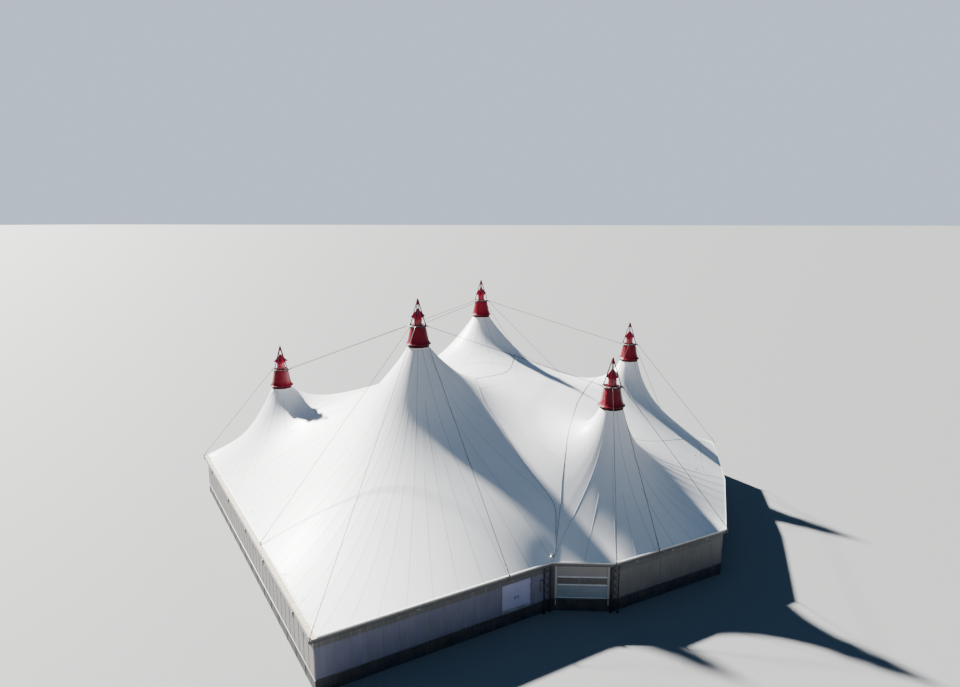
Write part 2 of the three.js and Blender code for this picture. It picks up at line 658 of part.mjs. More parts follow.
function latticeColumn(corner, along) {
  const foot = (offset) => [corner[0] + along[0] * offset, corner[1] + along[1] * offset];
  const [a, b] = [foot(0), foot(LATTICE_WIDTH)];
  const top = BEAM_BOTTOM - GAP;
  const parts = [bar([...a, 0], [...a, top], CHORD, 6), bar([...b, 0], [...b, top], CHORD, 6)];
  for (let bay = 0; bay < LATTICE_BAYS; bay += 1) {
    const low = 0.1 + ((top - 0.2) * bay) / LATTICE_BAYS;
    const high = 0.1 + ((top - 0.2) * (bay + 1)) / LATTICE_BAYS;
    parts.push(bar([...a, low], [...b, high], BRACE, 4), bar([...b, low], [...a, high], BRACE, 4));
  }
  return joined(parts);
}
const COLUMN_STAND_OFF = 0.12;
const [bayBack, gateOn] = [bay.direction.map((part) => -part), gate.direction];
addPiece('lattice_column_left', latticeColumn(bay.point(bay.length - 0.1, -COLUMN_STAND_OFF), bayBack),
  colours.lattice);
addPiece('lattice_column_right', latticeColumn(gate.point(gate.length - 0.25, -COLUMN_STAND_OFF), gateOn),
  colours.lattice);

export default tent;
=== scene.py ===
"""Circus big top, half the real size: five red-hooded masts under one white membrane."""

import math
import random

import bmesh
import bpy
import numpy as np
from mathutils import Matrix, Vector
from mathutils.bvhtree import BVHTree


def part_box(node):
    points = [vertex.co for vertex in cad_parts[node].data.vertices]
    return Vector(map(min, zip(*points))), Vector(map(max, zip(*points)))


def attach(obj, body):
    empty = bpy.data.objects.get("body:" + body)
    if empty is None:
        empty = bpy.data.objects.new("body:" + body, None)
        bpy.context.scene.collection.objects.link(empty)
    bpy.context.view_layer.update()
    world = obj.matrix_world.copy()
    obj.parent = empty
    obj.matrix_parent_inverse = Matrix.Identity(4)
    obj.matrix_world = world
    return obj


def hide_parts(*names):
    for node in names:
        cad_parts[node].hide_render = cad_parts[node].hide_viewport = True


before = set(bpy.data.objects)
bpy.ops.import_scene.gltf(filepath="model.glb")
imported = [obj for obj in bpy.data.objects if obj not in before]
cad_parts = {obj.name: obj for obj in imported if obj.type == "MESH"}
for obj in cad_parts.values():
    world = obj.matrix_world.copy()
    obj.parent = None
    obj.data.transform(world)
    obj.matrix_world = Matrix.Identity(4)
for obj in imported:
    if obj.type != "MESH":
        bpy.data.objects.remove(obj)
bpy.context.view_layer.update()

# Viewpoint. The tent is looked at from the height of a crane, in front and a little to the
# right of its middle, with a slightly wide lens that points down at the gate side.
EYE = Vector((11.724, -37.476, 16.015))
EYE_HEADING = math.radians(16.0)
EYE_PITCH = math.radians(10.13)
EYE_LENS = 25.605

camera = bpy.data.objects.new("camera", bpy.data.cameras.new("camera"))
camera.data.lens = EYE_LENS
camera.data.sensor_width = 36.0
camera.data.clip_end = 8000.0
camera.location = EYE
camera.rotation_euler = (math.pi / 2 - EYE_PITCH, 0.0, EYE_HEADING)
bpy.context.collection.objects.link(camera)
bpy.context.scene.camera = camera

# Studio. A pale floor runs out to a pale backdrop; one warm lamp stands high on the left and
# a little behind, and a wide cool one fills from the right and the front.
FLOOR_REACH = 6000.0
FLOOR_DROP = 0.004
FLOOR_GREY = (0.22, 0.224, 0.228)
SKY_LIGHT = (0.22, 0.52, 1.0, 1)
SKY_LIGHT_STRENGTH = 0.20
BACKDROP_COLOUR = (0.66, 0.80, 0.94, 1)
LAMPS = {
    "key_lamp": dict(power=28.0, colour=(1.0, 0.97, 0.92), azimuth=151.5, height=34.5, spread=2.4),
    "fill_lamp": dict(power=0.1, colour=(0.66, 0.81, 1.0), azimuth=-60, height=40, spread=90),
}

bpy.ops.mesh.primitive_plane_add(size=FLOOR_REACH, location=(0, 0, -FLOOR_DROP))
floor = bpy.context.object
floor.name = "floor"


def add_node(tree, kind, inputs=None, **settings):
    """A shader or geometry node with its settings, and each input linked or given a value."""
    made = tree.nodes.new(kind)
    for key, value in settings.items():
        setattr(made, key, value)
    for key, value in (inputs or {}).items():
        if isinstance(value, bpy.types.NodeSocket):
            tree.links.new(value, made.inputs[key])
        else:
            made.inputs[key].default_value = value
    return made


backdrop = bpy.data.worlds.new("backdrop")
backdrop.use_nodes = True
sky = backdrop.node_tree
lighting = sky.nodes["Background"]
lighting.inputs["Color"].default_value = SKY_LIGHT
lighting.inputs["Strength"].default_value = SKY_LIGHT_STRENGTH
paper = add_node(sky, "ShaderNodeBackground", {"Color": BACKDROP_COLOUR})
seen = add_node(sky, "ShaderNodeLightPath").outputs["Is Camera Ray"]
both = add_node(sky, "ShaderNodeMixShader", {0: seen, 1: lighting.outputs[0], 2: paper.outputs[0]})
sky.links.new(both.outputs[0], sky.nodes["World Output"].inputs["Surface"])
bpy.context.scene.world = backdrop

for name, lamp in LAMPS.items():
    data = bpy.data.lights.new(name, "SUN")
    data.energy = lamp["power"]
    data.color = lamp["colour"]
    data.angle = math.radians(lamp["spread"])
    shining = bpy.data.objects.new(name, data)
    turn = math.radians(lamp["azimuth"])
    lift = math.radians(lamp["height"])
    towards = Vector((math.cos(turn) * math.cos(lift), math.sin(turn) * math.cos(lift), math.sin(lift)))
    shining.rotation_euler = towards.to_track_quat("Z", "Y").to_euler()
    bpy.context.collection.objects.link(shining)


def new_material(name):
    """A material with its tree, its surface shader and the piece's own coordinates."""
    material = bpy.data.materials.new(name)
    material.use_nodes = True
    tree = material.node_tree
    place = add_node(tree, "ShaderNodeTexCoord").outputs["Object"]
    return material, tree, tree.nodes["Principled BSDF"], place


def noise(tree, place, scale, detail):
    """Random clouds, of a fixed pattern, over a place."""
    pattern = {"Vector": place, "Scale": scale, "Detail": detail}
    return add_node(tree, "ShaderNodeTexNoise", pattern).outputs[0]


def ranged(tree, value, start=0.0, end=1.0, low=0.0, high=1.0):
    """A value brought from one range (start, end) to another (low, high)."""
    limits = {0: value, 1: start, 2: end, 3: low, 4: high}
    return add_node(tree, "ShaderNodeMapRange", limits).outputs[0]


def blended(tree, share, one, two, **settings):
    """Two colours mixed by a share of the second."""
    inputs = {0: share, 6: one, 7: two}
    return add_node(tree, "ShaderNodeMix", inputs, data_type="RGBA", **settings).outputs[2]


def worked_out(tree, operation, one, two):
    """Result of a sum on two values."""
    return add_node(tree, "ShaderNodeMath", {0: one, 1: two}, operation=operation).outputs[0]


def drawn_out(tree, place, scale):
    """Coordinates that draw a pattern out along an axis."""
    return add_node(tree, "ShaderNodeMapping", {0: place, 3: scale}).outputs[0]


def two_tone(tree, fresh, worn, place, scale, low=0.35, high=0.75, detail=4.0):
    """Colour that drifts between two tones in soft clouds."""
    clouds = ranged(tree, noise(tree, place, scale, detail), low, high)
    return blended(tree, clouds, (*fresh, 1), (*worn, 1))


def relief(tree, height, depth, below=None):
    """Bump of a given depth in metres, laid over another bump if there is one."""
    inputs = {"Height": height, "Distance": depth, "Strength": 1.0}
    if below is not None:
        inputs["Normal"] = below
    return add_node(tree, "ShaderNodeBump", inputs).outputs[0]


def surfaced(tree, shader, colour, gloss, bump):
    """Gives a shader its colour, roughness and bump."""
    for label, value in (("Base Color", colour), ("Roughness", gloss), ("Normal", bump)):
        tree.links.new(value, shader.inputs[label])


def painted(name, fresh, worn, roughness, cloud=1.5, grain=60.0, depth=0.0008, metallic=0.0):
    """Painted, coated or plated surface: clouded tone, fine grain and slightly uneven gloss."""
    material, tree, shader, place = new_material(name)
    shader.inputs["Metallic"].default_value = metallic
    colour = two_tone(tree, fresh, worn, place, cloud)
    speck = noise(tree, place, grain, 6.0)
    gloss = ranged(tree, speck, low=roughness - 0.07, high=roughness + 0.09)
    surfaced(tree, shader, colour, gloss, relief(tree, speck, depth))
    return material


floor.data.materials.append(painted("studio_floor", FLOOR_GREY, FLOOR_GREY, 0.8, depth=0.0))

# Membrane. The real one is white coated polyester, welded from gores about two metres wide
# that run from each mast's collar to the eave, and stretched until no slack is left. Its five
# sheets meet edge to edge; every size here is the real tent's, halved.
HALF = 0.5
EAVE = 4.5 * HALF
COLLAR = 1.1 * HALF
COLLAR_DROP = 0.36 * HALF
GORE = 2.1 * HALF
STRIPS = 4
RINGS = 44
RING_CROWDING = 1.5
SHEET_THICKNESS = 0.004
SHEET_SAG = 0.002
SHEET_SAG_TOP = 0.0025
PUCKER = 0.003
GORE_FADE = 0.3
BALANCE_STEPS = 4000
BALANCE_ERROR = 1e-7
EDGE_INSET = 0.03 * HALF
GUTTER_WIDTH = 0.48 * HALF
GUTTER_SIDES = (0, 9)
FRONT = [(-29.5, -9.28), (1.09, -38.21), (14.82, -23.31), (19.89, -22.06), (28.99, -12.91)]
CORNERS = [Vector(corner) * HALF for corner in
           [*FRONT, (29.64, 0.0), *[(x, -y) for x, y in reversed(FRONT)]]]
LEFT_JUNCTION = Vector((-9.3, 1.2)) * HALF
RIGHT_JUNCTION = Vector((8.5, 0.0)) * HALF
FRONT_SPLIT, REAR_SPLIT = 0.34, 0.27
PULLS = [(0.52, 2.9), (0.73, 4.3), (0.73, 4.3), (-0.21, 6.5), (-0.21, 6.5)]
MAST_NUMBERS = range(1, 6)


def middle(node):
    low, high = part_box(node)
    return (Vector(low) + Vector(high)) / 2


HOOD_HEIGHT = 1.74 * HALF
MASTS = {n: middle(f"mast_{n}").to_2d() for n in MAST_NUMBERS}
RIMS = {n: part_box(f"head_frame_{n}")[0][2] - HOOD_HEIGHT for n in MAST_NUMBERS}


def drawn_in(depth, at_gutters=None):
    """The plan outline moved inwards, with mitred corners; the gutter sides may move deeper."""
    count = len(CORNERS)
    sides = [depth] * count
    if at_gutters is not None:
        for side in GUTTER_SIDES:
            sides[side] = at_gutters
    moved = []
    for i, corner in enumerate(CORNERS):
        along = [(corner - CORNERS[i - 1]).normalized(), (CORNERS[(i + 1) % count] - corner).normalized()]
        one, two = [Vector((-side.y, side.x)) for side in along]
        turn = one.dot(two)
        first, second = sides[i - 1], sides[i]
        moved.append(corner + one * (first - second * turn) / (1 - turn * turn)
                     + two * (second - first * turn) / (1 - turn * turn))
    return moved


EDGE = drawn_in(EDGE_INSET, GUTTER_WIDTH)
W, S, G1, G2, R, RM, R2, G2R, G1R, N, W2 = EDGE
FRONT_SEAM = W.lerp(S, FRONT_SPLIT)
REAR_SEAM = W2.lerp(N, REAR_SPLIT)
SECTIONS = {
    1: [W, FRONT_SEAM, LEFT_JUNCTION, REAR_SEAM, W2],
    2: [FRONT_SEAM, S, G1, RIGHT_JUNCTION, LEFT_JUNCTION],
    3: [RIGHT_JUNCTION, G1R, N, REAR_SEAM, LEFT_JUNCTION],
    4: [G1, G2, R, RM, RIGHT_JUNCTION],
    5: [RM, R2, G2R, G1R, RIGHT_JUNCTION],
}
INNER = (LEFT_JUNCTION, RIGHT_JUNCTION)


def at_eave(start, end):
    """True for a side that runs along the eave, false for one between two sheets."""
    return start not in INNER and end not in INNER


def side_points(start, end):
    """Even points in whole gores, the same from either end."""
    first, last = sorted((start, end), key=tuple)
    count = STRIPS * max(1, round((last - first).length / GORE))
    points = [first.lerp(last, i / count) for i in range(count + 1)]
    return points if first is start else points[::-1]


# Middle sheet: between the two rows of mast cones lies one more sheet, laced on along a curved
# seam on each side. The seams are kept as their distance right of centre, at steps back.
MIDDLE_STEPS = np.array([0, 5, 9.3, 11.3, 12.8, 15.7, 17.3, 18.7, 19.6, 23.3]) * HALF
MIDDLE_LEFT = np.array([3.5, 3.6, 4.4, 5.7, 7.35, 10.0, 11.9, 13.5, 14.2, 14.8]) * HALF
MIDDLE_RIGHT = np.array([13.8, 13.9, 14.05, 14.1, 14.2, 14.35, 14.45, 14.6, 14.7, 14.85]) * HALF


def middle_edges(y):
    """How far right of centre the middle sheet starts and ends, at places from front to rear."""
    back = np.abs(y)
    return np.interp(back, MIDDLE_STEPS, MIDDLE_LEFT), np.interp(back, MIDDLE_STEPS, MIDDLE_RIGHT)


def stretched_net():
    """Plan places, heights and ring columns of the membrane, as a net of springs at rest."""
    places, heights, held, columns, gores = [], [], [], {}, {}
    shared = {}
    for n, corners in SECTIONS.items():
        mast = MASTS[n]
        rim = []
        for i, corner in enumerate(corners):
            after = corners[(i + 1) % len(corners)]
            eave = at_eave(corner, after)
            for k, point in enumerate(side_points(corner, after)[:-1]):
                fixed = eave or (k == 0 and at_eave(corners[i - 1], corner))
                rim.append((point, fixed, k % STRIPS / STRIPS))
        rings = (np.arange(RINGS + 1) / RINGS) ** RING_CROWDING
        section = []
        for point, fixed, _ in rim:
            outwards = point - mast
            reach = outwards.length
            line = []
            for j, share in enumerate(rings):
                last = j == RINGS
                key = (round(point.x, 4), round(point.y, 4))
                if last and key in shared:
                    line.append(shared[key])
                    continue
                place = point if last else mast + outwards * ((COLLAR + (reach - COLLAR) * share) / reach)
                line.append(len(places))
                if last:
                    shared[key] = len(places)
                places.append(tuple(place))
                held.append(j == 0 or (last and fixed))
                heights.append(RIMS[n] - COLLAR_DROP if j == 0 else EAVE)
            section.append(line)
        columns[n] = np.array(section)
        gores[n] = np.array([share for _, _, share in rim])
    return np.array(places), np.array(heights), np.array(held), columns, gores


def relax(places, heights, held, columns):
    """Heights at which the pulls along every mesh edge balance, found by conjugate gradients."""
    triangles = []
    for grid in columns.values():
        here, after = grid, np.roll(grid, -1, axis=0)
        one = np.stack([here[:, :-1], here[:, 1:], after[:, 1:]], -1).reshape(-1, 3)
        two = np.stack([here[:, :-1], after[:, 1:], after[:, :-1]], -1).reshape(-1, 3)
        triangles += [one, two]
    triangles = np.concatenate(triangles)
    centres = places[triangles].mean(1)
    pull = np.ones(len(centres))
    for n, (grip, spread) in zip(MAST_NUMBERS, PULLS):
        reach = np.hypot(*(centres - np.array(MASTS[n])).T)
        pull *= np.where(reach < spread * HALF, (spread * HALF / reach) ** grip, 1.0)
    starts, ends, weights = [], [], []
    for a, b, c in ((0, 1, 2), (1, 2, 0), (2, 0, 1)):
        u = places[triangles[:, a]] - places[triangles[:, c]]
        v = places[triangles[:, b]] - places[triangles[:, c]]
        weight = pull * (u * v).sum(1) / (2 * np.abs(u[:, 0] * v[:, 1] - u[:, 1] * v[:, 0]))
        starts += [triangles[:, a], triangles[:, b]]
        ends += [triangles[:, b], triangles[:, a]]
        weights += [weight, weight]
    starts, ends, weights = np.concatenate(starts), np.concatenate(ends), np.concatenate(weights)
    count = len(places)
    total = np.bincount(starts, weights, count)

    def unbalance(z):
        return np.where(held, 0.0, total * z - np.bincount(starts, weights * z[ends], count))

    start = np.where(held, heights, EAVE)
    step = np.zeros(count)
    left = -unbalance(start)
    scaled = left / total
    way = scaled.copy()
    size = (left * scaled).sum()
    for _ in range(BALANCE_STEPS):
        pushed = unbalance(way)
        share = size / (way * pushed).sum()
        step += share * way
        left -= share * pushed
        if np.abs(left).max() < BALANCE_ERROR:
            break
        scaled = left / total
        size, before = (left * scaled).sum(), size
        way = scaled + size / before * way
    return start + step


def sheet_form(places, heights, grid, gore):
    """Top surface of one sheet, each gore sagging between its seams and puckered at the eave."""
    ring = np.arange(RINGS + 1) / RINGS
    x, y = places[grid].transpose(2, 0, 1)
    left, right = middle_edges(y)
    gored = np.clip(np.maximum(left - x, x - right) / GORE_FADE, 0, 1)
    hollow = np.sin(np.pi * gore)[:, None]
    sag = (SHEET_SAG_TOP + SHEET_SAG * ring ** 2) * np.minimum(1, ring * 10) * (1 - ring ** 12)
    waves = np.sin(np.arange(len(grid)) * 2.1) + np.sin(np.arange(len(grid)) * 0.83 + 1.0)
    pucker = PUCKER * waves[:, None] * (ring ** 30 * (1 - ring ** 90))
    return np.stack([x, y, heights[grid] - hollow * sag * gored + pucker], -1)


def coated_sheet():
    """White coated polyester: grey run-off streaks down the gores, dirt beside the seams."""
    material, tree, shader, place = new_material("coated_sheet")
    shader.inputs["Coat Weight"].default_value = 0.12
    shader.inputs["Coat Roughness"].default_value = 0.3
    gores = add_node(tree, "ShaderNodeUVMap", uv_map="gores").outputs[0]
    stretched = drawn_out(tree, gores, (2.6, 0.16, 1.0))
    streak = noise(tree, stretched, 3.0, 5.0)
    across = add_node(tree, "ShaderNodeSeparateXYZ", {0: gores}).outputs[0]
    beside = ranged(tree, worked_out(tree, "PINGPONG", across, 0.5), 0.07, 0.0, high=0.14)
    marks = worked_out(tree, "MAXIMUM", ranged(tree, streak, 0.52, 0.8, high=0.12), beside)
    white = two_tone(tree, (0.86, 0.865, 0.87), (0.79, 0.80, 0.815), place, 0.35, 0.3, 0.8, 6.0)
    soiled = blended(tree, marks, white, (0.58, 0.60, 0.63, 1))
    weave = noise(tree, place, 240.0, 3.0)
    crease = noise(tree, stretched, 6.0, 4.0)
    bumped = relief(tree, weave, 0.0003, relief(tree, crease, 0.0006))
    surfaced(tree, shader, soiled, ranged(tree, streak, low=0.42, high=0.6), bumped)
    return material


def settle(name, mesh, material, body="tent", soft_angle=35):
    """Sets a mesh's shading and finish, and makes it a piece that rides on a body."""
    mesh.materials.clear()
    mesh.materials.append(material)
    mesh.shade_smooth()
    mesh.set_sharp_from_angle(angle=math.radians(soft_angle))
    made = bpy.data.objects.new(name, mesh)
    bpy.context.collection.objects.link(made)
    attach(made, body)
    return made


def add_piece(name, vertices, faces, material, soft_angle):
    mesh = bpy.data.meshes.new(name)
    mesh.from_pydata([tuple(v) for v in vertices], [], [tuple(f) for f in faces])
    return settle(name, mesh, material, soft_angle=soft_angle)


SHEET_WHITE = coated_sheet()
net_places, net_heights, net_held, net_columns, net_gores = stretched_net()
net_heights = relax(net_places, net_heights, net_held, net_columns)
sheet_tops = {}
facing = np.zeros((len(net_places), 3))
for n, grid in net_columns.items():
    top = sheet_form(net_places, net_heights, grid, net_gores[n])
    count, rows = grid.shape
    corner = np.arange(count)[:, None] * rows + np.arange(rows - 1)[None]
    across = np.roll(np.arange(count), -1)[:, None] * rows + np.arange(rows - 1)[None]
    faces = np.stack([corner, corner + 1, across + 1, across], -1).reshape(-1, 4)
    sheet_tops[n] = (top.reshape(-1, 3), faces)
    corners = sheet_tops[n][0][faces]
    tilts = np.cross(corners[:, 2] - corners[:, 0], corners[:, 3] - corners[:, 1])
    for k in range(4):
        np.add.at(facing, grid.ravel()[faces[:, k]], tilts)
facing /= np.linalg.norm(facing, axis=1)[:, None]
for n, grid in net_columns.items():
    vertices, faces = sheet_tops[n]
    count, rows = grid.shape
    out = facing[grid.ravel()]
    below = len(vertices)
    rings = np.arange(count) * rows
    after = np.roll(rings, -1)
    outer, outer_after = rings + rows - 1, after + rows - 1
    rims = [np.stack([outer, outer + below, outer_after + below, outer_after], -1),
            np.stack([rings, after, after + below, rings + below], -1)]
    shell = np.concatenate([faces, faces[:, ::-1] + below, *rims])
    both = np.concatenate([vertices, vertices - out * SHEET_THICKNESS])
    sheet = add_piece(f"membrane_{n}", both, shell, SHEET_WHITE, soft_angle=180)
    column, row = np.divmod(shell % below, rows)
    last = (column == 0) & (column.max(1) == count - 1)[:, None]
    depth = np.linalg.norm(both[shell][:, :, :2] - np.array(MASTS[n]), axis=2)
    run = sheet.data.uv_layers.new(name="gores")
    turns = np.where(last, count, column) / STRIPS
    run.data.foreach_set("uv", np.stack([turns, depth], -1).astype(np.float32).ravel())
    turned = np.concatenate([out, -out])[shell]
    outer_end = 2 * len(faces) + count
    for rim in (slice(2 * len(faces), outer_end), slice(outer_end, None)):
        edge = both[shell[rim]]
        flat = np.cross(edge[:, 2] - edge[:, 0], edge[:, 3] - edge[:, 1])
        turned[rim] = (flat / np.linalg.norm(flat, axis=1)[:, None])[:, None]
    sheet.data.normals_split_custom_set(turned.reshape(-1, 3).tolist())
    low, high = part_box(f"canopy_{n}")
    rise = high[2] - low[2]
    size = [math.hypot(high[axis] - low[axis], rise) for axis in (0, 1)]
    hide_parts(f"canopy_{n}")

solid_tops, solid_faces = [], []
for vertices, faces in sheet_tops.values():
    solid_faces += (faces + sum(map(len, solid_tops))).tolist()
    solid_tops.append(vertices)
MEMBRANE_TREE = BVHTree.FromPolygons([tuple(v) for top in solid_tops for v in top], solid_faces)

# Welded seams. Neighbouring gores overlap and are welded in a strip sixty millimetres wide;
# only every fourth seam runs up to the collar, because the gores grow too narrow for the rest.
SEAM_WIDTH = 0.06 * HALF
SEAM_HEIGHT = 0.0009
SEAM_LIFT = 0.0004
SEAM_STARTS = (1, 25, 13, 25)
RIGHT_MASTS = (4, 5)


def on_sheet(x, y, lift=0.0):
    """Point on the membrane over a place in plan, moved out along the surface's normal."""
    spot, normal, _, _ = MEMBRANE_TREE.ray_cast(Vector((x, y, 30.0)), Vector((0, 0, -1)))
    return spot + normal * lift if normal.z > 0 else spot - normal * lift


def new_tree(name, sockets):
    """An empty node tree for lines in and a mesh out, with named inputs."""
    tree = bpy.data.node_groups.new(name, "GeometryNodeTree")
    tree.interface.new_socket("Lines", in_out="INPUT", socket_type="NodeSocketGeometry")
    for label, (kind, value) in sockets.items():
        socket = tree.interface.new_socket(label, in_out="INPUT", socket_type=kind)
        if value is not None:
            socket.default_value = value
    tree.interface.new_socket("Made", in_out="OUTPUT", socket_type="NodeSocketGeometry")
    given = add_node(tree, "NodeGroupInput").outputs
    curve = add_node(tree, "GeometryNodeMeshToCurve", {0: given["Lines"]}).outputs[0]
    return tree, given, curve


def close_tree(tree, made, material):
    """Turns what a tree has made into a plain mesh with its finish, and ends the tree."""
    plain = add_node(tree, "GeometryNodeRealizeInstances", {0: made}).outputs[0]
    coloured = add_node(tree, "GeometryNodeSetMaterial", {"Geometry": plain, "Material": material})
    add_node(tree, "NodeGroupOutput", {0: coloured.outputs[0]})
    return tree


def swept(tree, curve, section):
    """A closed section led along a curve, with its ends capped."""
    inputs = {"Curve": curve, "Profile Curve": section, "Fill Caps": True}
    return add_node(tree, "GeometryNodeCurveToMesh", inputs).outputs[0]


def spaced(tree, curve, step):
    """A curve made of points at an even spacing."""
    inputs = {0: curve, "Length": step}
    return add_node(tree, "GeometryNodeResampleCurve", inputs, mode="LENGTH").outputs[0]


def swept_strip():
    """Lines become strips of oval section, with their width level and their height upright."""
    tree, given, curve = new_tree("swept_strip", {
        "Width": ("NodeSocketFloat", 0.03), "Height": ("NodeSocketFloat", 0.006),
        "Sides": ("NodeSocketInt", 8), "Material": ("NodeSocketMaterial", None)})
    level = add_node(tree, "GeometryNodeSetCurveNormal", {0: curve}, mode="Z_UP").outputs[0]
    sizes = {0: given["Width"], 1: given["Height"], 2: 1.0}
    size = add_node(tree, "ShaderNodeCombineXYZ", sizes).outputs[0]
    circle = {"Resolution": given["Sides"], "Radius": 0.5}
    circle = add_node(tree, "GeometryNodeCurvePrimitiveCircle", circle).outputs[0]
    section = add_node(tree, "GeometryNodeTransform", {"Geometry": circle, "Scale": size}).outputs[0]
    return close_tree(tree, swept(tree, level, section), given["Material"])


def outwards(mesh):
    """Turns the faces of every closed shell outwards."""
    shell = bmesh.new()
    shell.from_mesh(mesh)
    bmesh.ops.recalc_face_normals(shell, faces=shell.faces)
    shell.to_mesh(mesh)
    shell.free()
    return mesh


def grown(name, lines, tree, values, material, soft_angle=50):
    """Lays lines of points as loose edges, grows a tree on them and keeps the plain mesh."""
    points, edges = [], []
    for line in lines:
        start = len(points)
        closed = (Vector(line[0]) - Vector(line[-1])).length < 1e-6
        run = line[:-1] if closed else line
        points += [tuple(point) for point in run]
        edges += [(start + i, start + i + 1) for i in range(len(run) - 1)]
        if closed:
            edges.append((len(points) - 1, start))
    carrier_mesh = bpy.data.meshes.new("lines")
    carrier_mesh.from_pydata(points, edges, [])
    carrier = bpy.data.objects.new("lines", carrier_mesh)
    bpy.context.collection.objects.link(carrier)
    growing = carrier.modifiers.new("growing", "NODES")
    growing.node_group = tree
    items = tree.interface.items_tree
    names = {item.name: item.identifier for item in items if item.in_out == "INPUT"}
    for label, value in {**values, "Material": material}.items():
        growing[names[label]] = value
    ready = carrier.evaluated_get(bpy.context.evaluated_depsgraph_get())
    mesh = bpy.data.meshes.new_from_object(ready)
    carrier.modifiers.remove(growing)
    bpy.data.objects.remove(carrier)
    return settle(name, outwards(mesh), material, soft_angle=soft_angle)


STRIP = swept_strip()
# The seams' grey, darker than the sheet, is partly their dirt and partly painted shade along the seam lines.
SEAM_DIRT_AND_SHADE_GREY = painted("seam_weld", (0.57, 0.58, 0.60), (0.48, 0.49, 0.51), 0.6, cloud=2.5, depth=0.0)
gore_seams = []
for n, grid in net_columns.items():
    top = sheet_tops[n][0].reshape(*grid.shape, 3)
    seam_columns = [k for k in range(len(grid)) if net_gores[n][k] == 0]
    for turn, k in enumerate(seam_columns):
        if (turn % 2 or n in RIGHT_MASTS) and not net_held[grid[k, -1]]:
            continue
        line = top[k, SEAM_STARTS[turn % 4]:]
        left, right = middle_edges(line[:, 1])
        beyond = np.maximum(left - line[:, 0], line[:, 0] - right)
        crossing = np.flatnonzero(beyond <= 0)
        if len(crossing):
            j = crossing[0]
            if j == 0 or (turn % 2 and n in RIGHT_MASTS):
                continue
            share = beyond[j - 1] / (beyond[j - 1] - beyond[j])
            line = np.vstack([line[:j], line[j - 1] + (line[j] - line[j - 1]) * share])
        if len(line) > 2:
            gore_seams.append([Vector(point) + Vector((0, 0, SEAM_LIFT)) for point in line])
SEAM_SIZE = {"Width": SEAM_WIDTH, "Height": SEAM_HEIGHT}
grown("gore_seams", gore_seams, STRIP, SEAM_SIZE, SEAM_DIRT_AND_SHADE_GREY)

# Laced boundaries. The middle sheet is tied to its neighbours along both edges: a grey cover
# rope runs the length of each, and short lashings cross it about every quarter of a metre. The
# widths of the other sheets are welded end to end along the cross seams.
ROPE_WIDTH = 0.045 * HALF
ROPE_HEIGHT = 0.016
ROPE_LIFT = 0.008
ROPE_STEP = 0.18
LASHING_STEP = 0.14
SEAM_STEP = 0.2
BOLT_CROWN = 0.003
LEFT_END = [(5.72, -11.32), (7.35, -12.79), (10.03, -15.69), (11.9, -17.33), (13.72, -18.71),
            (14.38, -19.58), (14.75, -21.4), (14.93, -22.9)]
LEFT_MIDDLE = [(4.2, 9.1), (4.33, 6.69), (4.63, 3.85), (4.39, 1.35), (3.5, -1.4), (3.0, -4.2),
               (3.39, -6.76), (4.45, -9.26)]
RIGHT_END = [(14.09, -9.11), (14.28, -12.86), (14.48, -16.95), (14.75, -19.45), (14.93, -22.6)]
RIGHT_MIDDLE = [(13.63, 5.59), (13.49, -0.93)]
CROSS_SEAMS = [
    [(4.5, -9.45), (6.61, -8.76), (10.76, -8.47), (13.94, -10.2)],
    [(4.5, -9.6), (5.94, -1.57), (9.43, 1.3), (13.5, 2.7)],
    [(6.32, -11.63), (9.73, -13.14), (14.1, -15.14)],
    [(-1.6, 8.9), (-1.9, 7.85), (-2.35, 6.26), (-2.96, 4.85)],
    [(18.27, 8.84), (20.26, 4.86), (22.61, 0.09), (24.78, -4.66), (26.71, -8.48), (28.7, -12.2)],
]
RIGHT_SEAM = [(27.17, 7.49), (27.02, 3.0), (27.08, -0.3), (27.4, -2.51)]


def smooth_line(points, step, lift):
    """Points of a round curve through places in plan (real metres), laid on the membrane."""
    knots = [Vector(point) * HALF for point in points]
    knots = [2 * knots[0] - knots[1], *knots, 2 * knots[-1] - knots[-2]]
    line = []
    for before, start, end, after in zip(knots, knots[1:], knots[2:], knots[3:]):
        count = max(2, round((end - start).length / step))
        for k in range(count):
            t = k / count
            bend = (2 * start + (end - before) * t + (2 * before - 5 * start + 4 * end - after) * t * t
                    + (3 * start - before - 3 * end + after) * t * t * t) / 2
            line.append(on_sheet(bend.x, bend.y, lift))
    line.append(on_sheet(*knots[-2], lift))
    return line


def mirrored(points):
    return [(x, -y) for x, y in points]


def row_of_parts(name, upright=True):
    """A part repeated along lines at an even spacing, its X along the line."""
    tree, given, curve = new_tree(name, {
        "Part": ("NodeSocketObject", None), "Spacing": ("NodeSocketFloat", 0.1),
        "Material": ("NodeSocketMaterial", None)})
    spots = spaced(tree, curve, given["Spacing"])
    along = add_node(tree, "GeometryNodeInputTangent").outputs[0]
    facing = add_node(tree, "FunctionNodeAlignRotationToVector", {"Vector": along}, axis="X",
                      pivot_axis="Z" if upright else "AUTO").outputs[0]
    part = add_node(tree, "GeometryNodeObjectInfo", {"Object": given["Part"]}).outputs["Geometry"]
    placed = add_node(tree, "GeometryNodeInstanceOnPoints",
                      {"Points": spots, "Instance": part, "Rotation": facing}).outputs[0]
    return close_tree(tree, placed, given["Material"])


def ring_faces(rows, count, hollow=False):
    """Faces between closed rows of points: capped, or the last row joined to the first."""
    faces = []
    for i in range(rows if hollow else rows - 1):
        low, high = i * count, (i + 1) % rows * count
        faces += [(low + k, low + (k + 1) % count, high + (k + 1) % count, high + k) for k in range(count)]
    if not hollow:
        faces += [range(count), range((rows - 1) * count, rows * count)]
    return faces


